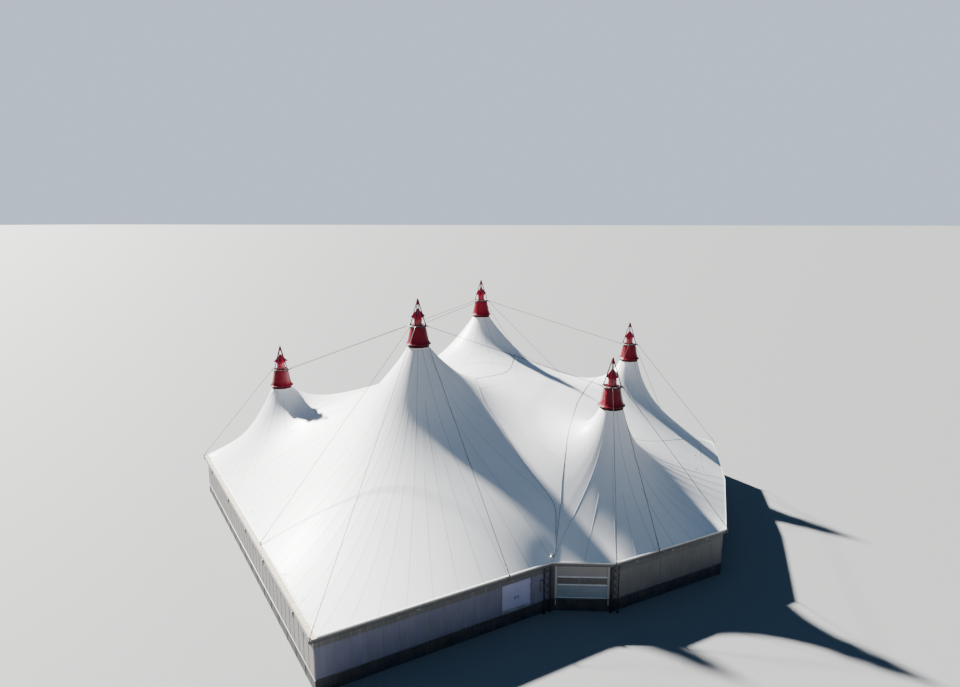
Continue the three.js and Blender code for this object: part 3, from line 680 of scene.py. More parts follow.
class Form:
    """Points and faces of one piece, gathered from turned, boxed and swept shapes."""

    def __init__(self):
        self.points, self.faces = [], []

    def add(self, points, faces, place=Matrix()):
        start = len(self.points)
        self.points += [place @ Vector(point) for point in points]
        self.faces += [[start + i for i in face] for face in faces]

    def turned(self, profile, sides, place=Matrix(), hollow=False):
        """Profile of (radius, height) swept round Z: capped, or a ring where it is hollow."""
        turns = [2 * math.pi * k / sides for k in range(sides)]
        points = [(r * math.cos(a), r * math.sin(a), h) for r, h in profile for a in turns]
        self.add(points, ring_faces(len(profile), sides, hollow), place)

    def box(self, low, high, place=Matrix()):
        plan = ((low[0], low[1]), (high[0], low[1]), (high[0], high[1]), (low[0], high[1]))
        self.add([(x, y, z) for z in (low[2], high[2]) for x, y in plan], ring_faces(2, 4), place)

    def rod(self, start, end, size, sides=10, place=Matrix()):
        """Round rod between two points, of one radius or of a profile of (share, radius)."""
        start = place @ Vector(start)
        along = place @ Vector(end) - start
        upright = Matrix.Translation(start) @ along.to_track_quat("Z", "Y").to_matrix().to_4x4()
        steps = size if isinstance(size, list) else [(0, size), (1, size)]
        self.turned([(radius, share * along.length) for share, radius in steps], sides, upright)

    def bolt(self, radius, low, high, place):
        """Six-sided bolt head between two heights, with a small crown."""
        self.turned([(radius, low), (radius, high), (radius - BOLT_CROWN, high + BOLT_CROWN)], 6, place)

    def mesh(self, name):
        mesh = bpy.data.meshes.new(name)
        mesh.from_pydata([tuple(point) for point in self.points], [], [list(face) for face in self.faces])
        return mesh

    def piece(self, name, material, slot, body="tent", edge=0.0, soft_angle=35):
        made = settle(name, outwards(self.mesh(name)), material, body, soft_angle)
        if edge:
            rounding = made.modifiers.new("rounding", "BEVEL")
            rounding.width = edge
            rounding.segments = 2
            rounding.limit_method = "ANGLE"
            rounding.angle_limit = math.radians(40)
        return made


def repeated(name, lines, form, spacing, material, upright=True):
    """A form repeated along lines of points as one plain mesh."""
    part = bpy.data.objects.new("part", form.mesh("part"))
    row = grown(name, lines, ROWS[upright], {"Part": part, "Spacing": spacing}, material, 35)
    bpy.data.objects.remove(part)
    return row


def shift(x, y, z):
    return Matrix.Translation((x, y, z))


def around(share):
    """Turn about Z by a share of the full circle."""
    return Matrix.Rotation(2 * math.pi * share, 4, "Z")


ROWS = {True: row_of_parts("upright_row"), False: row_of_parts("lying_row", upright=False)}
ROPE_GREY = painted("cover_rope", (0.27, 0.28, 0.295), (0.35, 0.36, 0.38), 0.6, grain=160, depth=0.002)
rope_lines = [smooth_line([*mirrored(end)[::-1], *centre, *end], ROPE_STEP, ROPE_LIFT)
              for centre, end in ((LEFT_MIDDLE, LEFT_END), (RIGHT_MIDDLE, RIGHT_END))]
grown("cover_ropes", rope_lines, STRIP, {"Width": ROPE_WIDTH, "Height": ROPE_HEIGHT}, ROPE_GREY)
lashing = Form()
lashing.rod((-0.006, -0.03, -0.006), (0.006, 0.03, -0.006),
            [(0, 0.002), (0.1, 0.004), (0.5, 0.004), (0.9, 0.004), (1, 0.002)], 6)
repeated("lashings", rope_lines, lashing, LASHING_STEP, ROPE_GREY, upright=False)
cross_runs = [*CROSS_SEAMS, *map(mirrored, CROSS_SEAMS), RIGHT_SEAM]
cross_lines = [smooth_line(run, SEAM_STEP, SEAM_LIFT) for run in cross_runs]
grown("cross_seams", cross_lines, STRIP, SEAM_SIZE, SEAM_DIRT_AND_SHADE_GREY)

# Hem and edge rail. The membrane's hem is folded round a cord and held by an aluminium rail
# that is screwed down on the eave beam by a clamp every metre.
RAIL = [(-0.012, 2.2252), (-0.014, 2.240), (-0.010, 2.256), (0.006, 2.266), (0.040, 2.272),
        (0.062, 2.270), (0.070, 2.262), (0.070, 2.2252)]
GUTTER_EXTRA = GUTTER_WIDTH - EDGE_INSET
CLAMP_STEP = 0.5
CLAMP_LEVEL = 2.2715


def moulding(form, profile, inside, level, corners=None, extra=0.0):
    """Closed profile of (depth, height) led round the plan with mitres; gutter sides may lie deeper.

    It is counted from a depth inside the outline and a level over the ground.
    """
    run = corners or range(len(CORNERS))
    rows = [(drawn_in(inside + depth, inside + depth + extra), level + height) for depth, height in profile]
    points = [(*loop[i % len(CORNERS)], height) for i in run for loop, height in rows]
    form.add(points, ring_faces(len(run), len(profile), hollow=corners is None))


def outline_run(depth, height, step, corners=None, extra=0.0):
    """Points along the outline at a depth inside it, with every corner kept."""
    loop = drawn_in(depth, depth + extra)
    run = corners or [*range(len(CORNERS)), 0]
    line = []
    for a, b in zip(run, run[1:]):
        start, end = loop[a % len(CORNERS)], loop[b % len(CORNERS)]
        count = max(1, round((end - start).length / step))
        line += [start.lerp(end, k / count) for k in range(count)]
    line.append(loop[run[-1] % len(CORNERS)])
    return [Vector((point.x, point.y, height)) for point in line]


RAIL_WHITE = painted("edge_rail_white", (0.90, 0.905, 0.90), (0.82, 0.825, 0.82), 0.42, 3.0, depth=0.0005)
FITTING_STEEL = painted("fitting_steel", (0.50, 0.52, 0.54), (0.30, 0.31, 0.33), 0.36, grain=90,
                        metallic=0.85)
rail = Form()
moulding(rail, RAIL, EDGE_INSET, 0.0, extra=GUTTER_EXTRA)
rail.piece("edge_rail", RAIL_WHITE, "eave_trim")
clamp = Form()
clamp.box((-0.016, -0.024, 0.0), (0.016, 0.012, 0.004))
clamp.turned([(0.008, 0.003), (0.008, 0.008), (0.005, 0.010)], 6, shift(0, -0.006, 0))
rail_line = outline_run(EDGE_INSET + 0.046, CLAMP_LEVEL, 3.0, extra=GUTTER_EXTRA)
repeated("rail_clamps", [rail_line], clamp, CLAMP_STEP, RAIL_WHITE)

# Eave beam. A steel box beam rings the whole plan on top of the walls: cream at the top, and below
# that painted dark as shade under the edge rail. Bolted plates cover its joints, and a dark strip
# under its outer edge is painted shadow there.
BEAM_TOP = (4.5 - 0.05 - 0.0006) * HALF
BEAM_LOW = BEAM_TOP - 0.28 * HALF
JOINT_STEP = 1.5
BAND_REACH = 2.4
SHADOW_GAP = [(-0.010, -0.008), (-0.010, 0.02), (0.004, 0.02), (0.004, 0.0), (0.06, 0.0), (0.06, -0.008)]


def toned_shader(material):
    """A finished material's tree, shader, coordinates and the colour that it has so far."""
    tree = material.node_tree
    shader = tree.nodes["Principled BSDF"]
    place = add_node(tree, "ShaderNodeTexCoord").outputs["Object"]
    return tree, shader, place, shader.inputs["Base Color"].links[0].from_socket


def streaked(material, amount, tone=(0.30, 0.29, 0.27)):
    """Adds rain streaks that run straight down a painted surface."""
    tree, shader, place, colour = toned_shader(material)
    streak = noise(tree, drawn_out(tree, place, (9.0, 9.0, 0.5)), 1.6, 5.0)
    mixed = blended(tree, ranged(tree, streak, 0.5, 0.8, high=amount), colour, (*tone, 1))
    tree.links.new(mixed, shader.inputs["Base Color"])
    return material


def banded(name, bands, roughness, **settings):
    """Painted surface whose tone changes at given heights (height, colour), from the foot up."""
    material = painted(name, (1.0, 1.0, 1.0), (0.84, 0.84, 0.86), roughness, **settings)
    tree, shader, place, clouded = toned_shader(material)
    height = add_node(tree, "ShaderNodeSeparateXYZ", {0: place}).outputs[2]
    ramp = add_node(tree, "ShaderNodeValToRGB", {0: worked_out(tree, "DIVIDE", height, BAND_REACH)})
    ramp.color_ramp.interpolation = "CONSTANT"
    stops = ramp.color_ramp.elements
    while len(stops) < len(bands):
        stops.new(0.5)
    for stop, (level, colour) in zip(stops, bands):
        stop.position = level / BAND_REACH
        stop.color = (*colour, 1)
    toned = blended(tree, 1.0, ramp.outputs[0], clouded, blend_type="MULTIPLY")
    tree.links.new(toned, shader.inputs["Base Color"])
    return material


def dress(node, material):
    """Gives a carried-over CAD node its finish."""
    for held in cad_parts[node].material_slots:
        held.material = material


# Cream only at the top: the dark band below is painted shade of the beam's face under the edge rail.
BEAM_SHADE_BANDS = [(0, (0.12, 0.12, 0.115)), (BEAM_TOP - 0.04, (0.58, 0.53, 0.42))]
BEAM_CREAM_AND_SHADE = streaked(banded("eave_beam_cream_and_shade", BEAM_SHADE_BANDS, 0.42, cloud=1.0), 0.3)
LYING = Matrix.Rotation(math.pi / 2, 4, "X")
# This dark grey is painted shadow on the strip under the beam's edge, and plain dark trim on the flashing and
# the gate's side panels.
DARK_TRIM_AND_SHADOW_GREY = painted("dark_trim_and_shadow_grey", (0.055, 0.06, 0.07), (0.10, 0.10, 0.11), 0.5, cloud=4.0)
for half in ("front", "rear"):
    dress(f"eave_beam_{half}", BEAM_CREAM_AND_SHADE)
# A dark strip under the beam's outer edge: painted shadow of the gap there.
shadow_strip = Form()
moulding(shadow_strip, SHADOW_GAP, 0.0, BEAM_LOW)
shadow_strip.piece("drip_rail", DARK_TRIM_AND_SHADOW_GREY, "lattice_steel")
joint_plate = Form()
joint_plate.box((-0.07, -0.007, -0.048), (0.07, 0.002, 0.048))
for x in (-0.05, 0.05):
    for z in (-0.03, 0.03):
        joint_plate.bolt(0.008, 0.0, 0.006, shift(x, -0.006, z) @ LYING)
plate_lines = [outline_run(0, (BEAM_LOW + BEAM_TOP) / 2 + 0.004, 30, corners=[side, side + 1])
               for side in (1, 3, 4, 5, 6, 8)]
repeated("beam_joint_plates", plate_lines, joint_plate, JOINT_STEP, BEAM_CREAM_AND_SHADE)

# Gutters. Along both long left-hand sides the beam carries a cream sheet-metal gutter between
# the membrane and a raised lip; it has two shallow ribs, cross straps and outlet spouts.
GUTTER_CREAM = streaked(painted("gutter_cream", (0.50, 0.45, 0.34), (0.38, 0.34, 0.26), 0.5, cloud=2.0), 0.5)
GUTTER_RUNS = [[0, 1], [9, 10]]
LIP_TOP = BEAM_TOP + 0.14 * HALF
LIP = [(-0.008, -0.012), (-0.008, 0.006), (0.026, 0.006), (0.026, -0.012), (0.0205, -0.012),
       (0.0205, 0.0004), (-0.0005, 0.0004), (-0.0005, -0.012)]
RIB = [(-0.008, 0.0005), (-0.004, 0.012), (0.004, 0.012), (0.008, 0.0005)]
RIB_PLACES = (0.075, 0.155)
STRAP_STEP = 0.9
gutter = Form()
for run in GUTTER_RUNS:
    for inside in RIB_PLACES:
        moulding(gutter, RIB, inside, BEAM_TOP, run)
    moulding(gutter, LIP, 0.0, LIP_TOP, run)
gutter.piece("gutter_ribs", GUTTER_CREAM, "eave_trim")
strap = Form()
strap.box((-0.012, 0.0, 0.0), (0.012, 0.226, 0.005))
strap.box((-0.012, -0.006, -0.02), (0.012, 0.001, 0.012))
strap_lines = [outline_run(0, LIP_TOP + 0.007, 30, corners=run) for run in GUTTER_RUNS]
repeated("gutter_straps", strap_lines, strap, STRAP_STEP, GUTTER_CREAM)
spouts = Form()
SPOUT_SHARES = {0: (0.53, 0.69, 0.12, 0.34, 0.9), 9: (0.1, 0.31, 0.47, 0.66, 0.88)}


def at_side(start, end, share=0.0, height=0.0):
    """Place on a straight side between two corners, with X along it and Y into the tent."""
    spot = start.lerp(end, share)
    turn = math.atan2(end.y - start.y, end.x - start.x)
    return shift(*spot, height) @ Matrix.Rotation(turn, 4, "Z")


for side, shares in SPOUT_SHARES.items():
    for share in shares:
        place = at_side(CORNERS[side], CORNERS[side + 1], share, BEAM_LOW)
        spouts.box((-0.035, -0.05, 0.02), (0.035, 0.0, 0.11), place)
        spouts.rod((0, -0.028, -0.14), (0, -0.028, 0.03), 0.02, place=place)
        spouts.box((-0.05, -0.012, 0.11), (0.05, -0.002, 0.2), place)
spouts.piece("gutter_spouts", GUTTER_CREAM, "eave_trim", edge=0.004)

# Hoods. Red coated fabric is cut in eight panels and sewn into a bell; its hem is rolled round
# a hoop that stands clear of the membrane, and its neck is strapped over the mast's ring. Under
# the hem, a bolted band over a white cuff clamps the membrane's collar; the band's near-black red
# is partly its own dark red and partly painted shade under the hem.
HOOD_TOP = 0.775 * HALF
HOOD_PANELS = 8
HOOD_COLUMNS = 128
HOOD_ROWS = 26
HOOD_HEM = 0.045 * HALF
HOOD_THICKNESS = 0.004
NECK_BOLTS = 24
BAND_SIDES = 64
SIDEWAYS = Matrix.Rotation(math.pi / 2, 4, "Y")


def hood_radius(height):
    """Radius of the bell in metres at a height above its rim."""
    real = height / HALF
    return (0.775 + 0.30 * (1 - real / 1.74) + 0.15 * math.exp(-real / 0.2)) * HALF


def hood_cloth():
    """Red coated fabric: glossy, with soft upright folds, a duller red on the raised folds and a fine weave.
    """
    material, tree, shader, place = new_material("hood_red")
    shader.inputs["Coat Weight"].default_value = 0.1
    shader.inputs["Coat Roughness"].default_value = 0.18
    shader.inputs["Specular IOR Level"].default_value = 0.28
    colour = two_tone(tree, (0.14, 0.0005, 0.008), (0.19, 0.002, 0.013), place, 3.0)
    folds = noise(tree, drawn_out(tree, place, (9.0, 9.0, 1.2)), 1.4, 4.0)
    weave = noise(tree, place, 300.0, 3.0)
    dusty = blended(tree, ranged(tree, folds, 0.55, 0.8, high=0.4), colour, (0.12, 0.004, 0.010, 1))
    bumped = relief(tree, weave, 0.0004, relief(tree, folds, 0.014))
    surfaced(tree, shader, dusty, ranged(tree, folds, low=0.26, high=0.46), bumped)
    return material


HOOD_RED = hood_cloth()
# The neck band's near-black red is partly painted shade under the hood's hem; the top strap shares it.
BAND_RED_AND_HEM_SHADE = painted("neck_band_red_and_hem_shade", (0.030, 0.0005, 0.002), (0.045, 0.0009, 0.003), 0.7, 5.0, 120)
BAND_RED_AND_HEM_SHADE.node_tree.nodes["Principled BSDF"].inputs["Specular IOR Level"].default_value = 0.15
CUFF_WHITE = painted("neck_cuff_white", (0.80, 0.80, 0.80), (0.66, 0.66, 0.67), 0.55, 5.0, 120)
folding = random.Random(5)
for n in MAST_NUMBERS:
    centre = Vector((*MASTS[n], RIMS[n]))
    depths = [folding.uniform(0.4, 1.0) for _ in range(HOOD_PANELS)]
    shifts = [folding.uniform(0, 6.28) for _ in range(HOOD_PANELS)]
    cloth = []
    for k in range(HOOD_COLUMNS):
        turn = 2 * math.pi * k / HOOD_COLUMNS
        panel, share = divmod(k * HOOD_PANELS / HOOD_COLUMNS, 1)
        panel = int(panel)
        bulge = math.sin(math.pi * share)
        wave = math.sin(3 * math.pi * share + shifts[panel]) * 0.005 * depths[panel] * bulge
        for row in range(HOOD_ROWS + 1):
            height = HOOD_HEIGHT * (row / HOOD_ROWS) ** 1.15
            fall = 1 - height / HOOD_HEIGHT
            radius = hood_radius(height) + bulge * (0.006 + 0.012 * fall) + wave * (0.3 + fall)
            cloth.append(centre + Vector((radius * math.cos(turn), radius * math.sin(turn), height)))
    rows = HOOD_ROWS + 1
    starts = [k * rows for k in range(HOOD_COLUMNS)]
    faces = [(here + j, after + j, after + j + 1, here + j + 1)
             for here, after in zip(starts, [*starts[1:], 0]) for j in range(HOOD_ROWS)]
    skirt = add_piece(f"hood_skirt_{n}", cloth, faces, HOOD_RED, soft_angle=60)
    hem_loop = [cloth[start] for start in [*starts, 0]]
    hem_size = {"Width": 2 * HOOD_HEM, "Height": 2 * HOOD_HEM, "Sides": 10}
    hem = grown(f"hood_hem_{n}", [hem_loop], STRIP, hem_size, HOOD_RED)
    seams = [cloth[start:start + rows] for start in starts[::HOOD_COLUMNS // HOOD_PANELS]]
    piping_size = {"Width": 0.022, "Height": 0.009}
    piping = grown(f"hood_piping_{n}", seams, STRIP, piping_size, HOOD_RED)
    wall = skirt.modifiers.new("thickness", "SOLIDIFY")
    wall.thickness = HOOD_THICKNESS
    wall.offset = -1.0
    at_neck = shift(*centre)
    neck, cuff, belt = Form(), Form(), Form()
    neck.turned([(0.503, -0.156), (0.547, -0.156), (0.547, -0.09), (0.556, -0.085), (0.556, -0.045),
                 (0.547, -0.04), (0.547, -0.008), (0.503, -0.008)], BAND_SIDES, at_neck, hollow=True)
    for k in range(NECK_BOLTS):
        spot = at_neck @ around(k / NECK_BOLTS) @ shift(0.554, 0, -0.065)
        neck.bolt(0.009, 0.0, 0.008, spot @ SIDEWAYS)
    cuff.turned([(0.503, -0.2), (0.548, -0.2), (0.553, -0.192), (0.553, -0.168), (0.547, -0.162),
                 (0.547, -0.158), (0.503, -0.158)], BAND_SIDES, at_neck, hollow=True)
    belt.turned([(HOOD_TOP - 0.004, -0.075), (HOOD_TOP + 0.016, -0.075), (HOOD_TOP + 0.012, -0.045),
                 (HOOD_TOP - 0.004, -0.045)], BAND_SIDES, at_neck @ shift(0, 0, HOOD_HEIGHT), hollow=True)
    made = [neck.piece(f"neck_band_{n}", BAND_RED_AND_HEM_SHADE, "hood_fabric"),
            cuff.piece(f"neck_cuff_{n}", CUFF_WHITE, "hood_fabric"),
            belt.piece(f"hood_strap_{n}", BAND_RED_AND_HEM_SHADE, "hood_fabric")]
    for part in (skirt, hem, piping, *made):
        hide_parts(f"hood_{n}")

# Mast heads. A steel ring of welded tube with a light rim closes each hood; on its deck stand
# a red sheet-metal stack, a four-cornered hat, and four thin legs that meet in a pointed cap.
RING = 0.915 * HALF
LEG_FOOT = 0.84 * HALF
APEX = 2.86 * HALF
HAT_CORNER = 0.8 * HALF
HAT_LOW = 1.02 * HALF
HAT_RISE = 0.85 * HALF
HAT_STEPS = 6
RING_SIDES = 96
COWL = 0.41 * HALF
STACK = [(0.0, 0.025), (0.0, 0.13), (0.012, 0.134), (0.012, 0.158), (0.0, 0.162), (-0.004, 0.30),
         (0.01, 0.304), (0.01, 0.326), (-0.006, 0.33), (-0.008, 0.45), (-0.03, 0.485)]
CAP = [(0.05, 0.33), (0.08, 0.315), (0.09, 0.30), (0.088, 0.285), (0.056, 0.18), (0.032, 0.08),
       (0.018, 0.02), (0.004, 0.001)]
LEG_SLEEVE = [(0, 0.033), (0.85, 0.033), (1, 0.027)]
HEAD_RED = painted("head_red", (0.42, 0.010, 0.040), (0.30, 0.008, 0.028), 0.25, cloud=4.0, depth=0.0002)
HEAD_DARK = painted("head_dark", (0.05, 0.002, 0.006), (0.025, 0.003, 0.005), 0.4, cloud=4.0)
LEG_RED = painted("leg_red", (0.05, 0.001, 0.005), (0.035, 0.001, 0.004), 0.35, cloud=4.0)
CAP_RED = painted("cap_red", (0.16, 0.003, 0.012), (0.11, 0.002, 0.009), 0.3, cloud=4.0)
RIM_CREAM = painted("ring_rim_cream", (0.74, 0.70, 0.66), (0.52, 0.44, 0.42), 0.45, cloud=5.0)


def sheet_metal_hat(form, place):
    """Pyramid with hollow sides, folded hips and a turned-down rim, closed underneath."""
    rows = []
    profile = [(0.90, -0.006), (0.97, -0.022), (1.0, -0.018), (0.985, 0.004)]
    for t in (0.12, 0.25, 0.4, 0.55, 0.7, 0.85, 0.96):
        profile.append(((1 - t) ** 1.12 * 0.985, 0.004 + HAT_RISE * t))
    for size, height in profile:
        row = []
        for hip in range(4):
            for k in range(HAT_STEPS):
                share = k / HAT_STEPS
                turns = [math.pi / 4 + (hip + side) * math.pi / 2 for side in (0, 1)]
                start, end = [Vector((math.cos(a), math.sin(a))) * HAT_CORNER * size for a in turns]
                spot = start.lerp(end, share) * (1 - 0.10 * math.sin(math.pi * share) * min(1, size))
                sag = 0.012 * math.sin(math.pi * share) * size
                row.append((spot.x, spot.y, HAT_LOW + height - sag))
        rows.append(row)
    form.add([point for row in rows for point in row], ring_faces(len(rows), 4 * HAT_STEPS), place)


for n in MAST_NUMBERS:
    at_ring = shift(*MASTS[n], RIMS[n] + HOOD_HEIGHT)
    ring = Form()
    ring.turned([(0.36, 0.004), (0.42, 0.0), (0.448, 0.002), (RING, 0.014), (RING, 0.05), (0.43, 0.052),
                 (0.36, 0.03)], RING_SIDES, at_ring, hollow=True)
    ring.turned([(0.361, 0.0), (0.361, 0.026)], 48, at_ring)
    rim = Form()
    rim.turned([(0.424, 0.050), (0.428, 0.060), (0.446, 0.062), (0.452, 0.056), (0.451, 0.048),
                (0.43, 0.047)], RING_SIDES, at_ring, hollow=True)
    for k in range(12):
        rim.box((0.444, -0.010, 0.046), (0.472, 0.010, 0.058), at_ring @ around((k + 0.5) / 12))
    stack = Form()
    stack.turned([(COWL + out, height) for out, height in STACK], 48, at_ring)
    for k in range(4):
        seam = at_ring @ around((k + 0.5) / 4)
        stack.box((COWL - 0.012, -0.006, 0.03), (COWL + 0.008, 0.006, 0.46), seam)
        for side in (-0.022, 0.014):
            stack.box((COWL - 0.02, side, 0.40), (COWL + 0.07, side + 0.008, 0.475), seam)
    hat = Form()
    sheet_metal_hat(hat, at_ring)
    legs = Form()
    for k in range(4):
        leg = at_ring @ around(k / 4)
        legs.rod((LEG_FOOT, 0, 0.03), (0.017, 0, APEX - 0.075), 0.026, 12, leg)
        legs.box((LEG_FOOT - 0.045, -0.04, 0.052), (LEG_FOOT + 0.03, 0.04, 0.064), leg)
        legs.rod((LEG_FOOT - 0.006, 0, 0.06), (LEG_FOOT - 0.045, 0, 0.18), LEG_SLEEVE, 12, leg)
        legs.rod((0.245, 0, 0.515), (0.185, 0, 0.50), 0.008, 8, leg)
        for side in (-0.026, 0.026):
            legs.bolt(0.007, 0.063, 0.072, leg @ shift(LEG_FOOT + 0.012, side, 0))
    cap = Form()
    cap.turned([(radius, APEX - below) for radius, below in CAP], 32, at_ring)
    parts = {"ring": (ring, HEAD_DARK, 35), "rim": (rim, RIM_CREAM, 35), "stack": (stack, HEAD_RED, 35),
             "hat": (hat, HEAD_RED, 28), "legs": (legs, LEG_RED, 35), "cap": (cap, CAP_RED, 35)}
    for part, (form, material, soft_angle) in parts.items():
        made = form.piece(f"head_{part}_{n}", material, "head_steel", soft_angle=soft_angle)
        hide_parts(f"head_frame_{n}")

# Stays. Stranded steel ropes run taut from each head ring down to the eave and across to the
# next heads; each ends in a socket at the ring, and in a turnbuckle on a lug at the eave.
GAP = 0.0006 * HALF
LUG = 0.07 * HALF
ROPE_RADIUS = 0.0135
IN_SOCKET = 0.08
IN_TURNBUCKLE = 0.42
STAY_START = 0.962 * HALF
RING_LEVEL = 0.06 * HALF
COLLAR_OUTER = (0.915 + 0.0006 + 0.07) * HALF
STAY_END = 2.25 + 0.12 * HALF
face_line = drawn_in(-LUG - GAP)
gutter_line = drawn_in(GUTTER_WIDTH - LUG - 0.005)
GUTTER_SPOT = gutter_line[0].lerp(gutter_line[1], 0.63)
SIDE_SPOTS = [GUTTER_SPOT, face_line[1], face_line[1].lerp(face_line[2], 0.79)]
RIGHT_SPOTS = [face_line[3], face_line[3].lerp(face_line[4], 0.36), face_line[4]]
over = [Vector((spot.x, -spot.y)) for spot in (*SIDE_SPOTS, *RIGHT_SPOTS)]
EAVE_SPOTS = {1: [face_line[0], face_line[10]], 2: SIDE_SPOTS, 3: over[:3], 4: RIGHT_SPOTS, 5: over[3:]}
SOCKET = [(0, 0.016), (0.35, 0.018), (0.7, 0.026), (1, 0.028)]
FERRULE = [(0, 0.017), (0.5, 0.021), (1, 0.024)]
TURNBUCKLE = [(0, 0.014), (0.08, 0.024), (0.2, 0.019), (0.8, 0.019), (0.92, 0.024), (1, 0.014)]
LINKS = {1: [2, 3], 2: [3, 4], 3: [5], 4: [5], 5: []}


def stranded_rope():
    """Lines become a rope of six strands, twisted along its length."""
    tree, given, curve = new_tree("stranded_rope", {
        "Radius": ("NodeSocketFloat", 0.014), "Step": ("NodeSocketFloat", 0.07),
        "Twist": ("NodeSocketFloat", 9.0), "Material": ("NodeSocketMaterial", None)})
    reach = add_node(tree, "GeometryNodeSplineParameter").outputs["Length"]
    turn = worked_out(tree, "MULTIPLY", reach, given["Twist"])
    spots = spaced(tree, curve, given["Step"])
    twisted = add_node(tree, "GeometryNodeSetCurveTilt", {0: spots, "Tilt": turn}).outputs[0]
    valley = worked_out(tree, "MULTIPLY", given["Radius"], 0.8)
    strands = {"Points": 6, "Inner Radius": valley, "Outer Radius": given["Radius"]}
    section = add_node(tree, "GeometryNodeCurveStar", strands).outputs[0]
    return close_tree(tree, swept(tree, twisted, section), given["Material"])


ROPE = stranded_rope()
STAY_STEEL = painted("stay_steel", (0.16, 0.165, 0.17), (0.08, 0.083, 0.088), 0.4, grain=90, metallic=0.7)
CABLE_GREY = painted("stay_cable_grey", (0.012, 0.013, 0.015), (0.025, 0.026, 0.028), 0.6, 6.0, metallic=0.2)
for n in MAST_NUMBERS:
    ring_level = RIMS[n] + HOOD_HEIGHT + RING_LEVEL
    ropes, ends, clip = [], Form(), Form()
    clip.turned([(RING + GAP, -0.022), (COLLAR_OUTER - 0.004, -0.025), (COLLAR_OUTER, -0.02),
                 (COLLAR_OUTER, 0.0), (COLLAR_OUTER - 0.004, 0.004), (RING + GAP, 0.004)], BAND_SIDES,
                shift(*MASTS[n], ring_level), hollow=True)
    spots = [(spot, STAY_END, True) for spot in EAVE_SPOTS[n]]
    spots += [(MASTS[other], RIMS[other] + HOOD_HEIGHT + RING_LEVEL, False) for other in LINKS[n]]
    for spot, level, eave in spots:
        span = (spot - MASTS[n]).length
        away = (spot - MASTS[n]) / span
        start = Vector((*(MASTS[n] + away * (STAY_START + 0.02)), ring_level))
        short = 0 if eave else STAY_START + 0.025
        end = Vector((*(MASTS[n] + away * (span - short)), level))
        along = (end - start).normalized()
        ropes.append([start + along * IN_SOCKET, end - along * (IN_TURNBUCKLE if eave else 0.1)])
        ends.rod(start + along * 0.16, start - along * 0.01, SOCKET, 12)
        ends.rod(start - along * 0.03, start + along * 0.02, 0.012)
        if not eave:
            ends.rod(end - along * 0.16, end + along * 0.01, SOCKET, 12)
            continue
        for first, last, size, sides in ((0.46, 0.36, FERRULE, 12), (0.37, 0.30, 0.011, 10),
                                         (0.31, 0.11, TURNBUCKLE, 12), (0.12, 0.02, 0.011, 10)):
            ends.rod(end - along * first, end - along * last, size, sides)
        heading = shift(*end) @ Matrix.Rotation(math.atan2(away.y, away.x), 4, "Z")
        for side in (-0.022, 0.014):
            ends.box((-0.05, side, -0.024), (0.022, side + 0.008, 0.024), heading)
        ends.rod((-0.028, -0.03, 0), (-0.028, 0.03, 0), 0.009, place=heading)
        foot = -0.22 if abs(spot.x - GUTTER_SPOT.x) > 0.01 else BEAM_TOP + 0.002 - level
        ends.turned([(LUG, foot), (LUG, foot + 0.012), (0.02, foot + 0.02), (0.02, -0.03), (0.032, -0.022),
                     (0.032, -0.006), (0.013, 0.0), (0.013, 0.02), (0.008, 0.024)], 20, shift(*end))
    cables = grown(f"stay_cables_{n}", ropes, ROPE, {"Radius": ROPE_RADIUS}, CABLE_GREY, 80)
    fittings = ends.piece(f"stay_fittings_{n}", STAY_STEEL, "stay_cable")
    collar = clip.piece(f"stay_collar_{n}", HEAD_DARK, "stay_cable")
    for made in (cables, fittings, collar):
        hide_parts(f"stays_{n}")

# Masts. Galvanised steel tubes stand inside the tent on square base plates; each plate is held
# by eight anchor bolts, and upright gussets stiffen the foot of the tube.
PLATE_TOP = 0.06 * HALF
GUSSET = [(0.1255, 0), (0.215, 0), (0.215, 0.03), (0.14, 0.2), (0.1255, 0.2)]
ZINC = painted("mast_zinc", (0.52, 0.54, 0.56), (0.38, 0.40, 0.42), 0.4, cloud=9.0, grain=40, metallic=0.8)
mast_feet = Form()
for n in MAST_NUMBERS:
    dress(f"mast_{n}", ZINC)
    at_foot = shift(*MASTS[n], PLATE_TOP)
    for k in range(8):
        mast_feet.turned([(0.022, 0.0), (0.022, 0.004), (0.016, 0.005), (0.016, 0.02), (0.009, 0.021),
                          (0.009, 0.05)], 6, at_foot @ around((k + 0.5) / 8) @ shift(0.25, 0, 0))
        gusset = [(x, side, z) for side in (-0.005, 0.005) for x, z in GUSSET]
        mast_feet.add(gusset, ring_faces(2, 5), at_foot @ around(k / 8))
mast_feet.piece("mast_feet", ZINC, "galvanised_steel")

# Plinth. Dark boards close the foot of every wall down to the ground; a galvanised flashing
# sheds the rain off the wall above them, and a batten covers each joint between two boards.
PLINTH_TOP = 1.1 * HALF
PLINTH_IN = 0.33 * HALF
WALL_IN = 0.3 * HALF
BATTEN_STEP = 1.2
FLASHING = [(-0.022, -0.018), (-0.022, -0.002), (-0.002, 0.012), (-0.0004, 0.012), (-0.0004, -0.001),
            (-0.018, -0.006), (-0.018, -0.018)]
PLINTH_DARK = painted("plinth_dark", (0.028, 0.029, 0.034), (0.06, 0.058, 0.056), 0.7, 2.5, 30, 0.002)
streaked(PLINTH_DARK, 0.5, (0.12, 0.11, 0.10))
for half in ("front", "rear"):
    dress(f"plinth_{half}", PLINTH_DARK)
flashing = Form()
moulding(flashing, FLASHING, WALL_IN, PLINTH_TOP)
flashing.piece("plinth_flashing", DARK_TRIM_AND_SHADOW_GREY, "galvanised_steel")
plinth_batten = Form()
plinth_batten.box((-0.02, -0.012, -0.26), (0.02, 0.001, 0.245))
plinth_lines = [outline_run(PLINTH_IN, 0.27, 30, corners=[side, side + 1]) for side in range(11)]
repeated("plinth_battens", plinth_lines, plinth_batten, BATTEN_STEP, PLINTH_DARK)
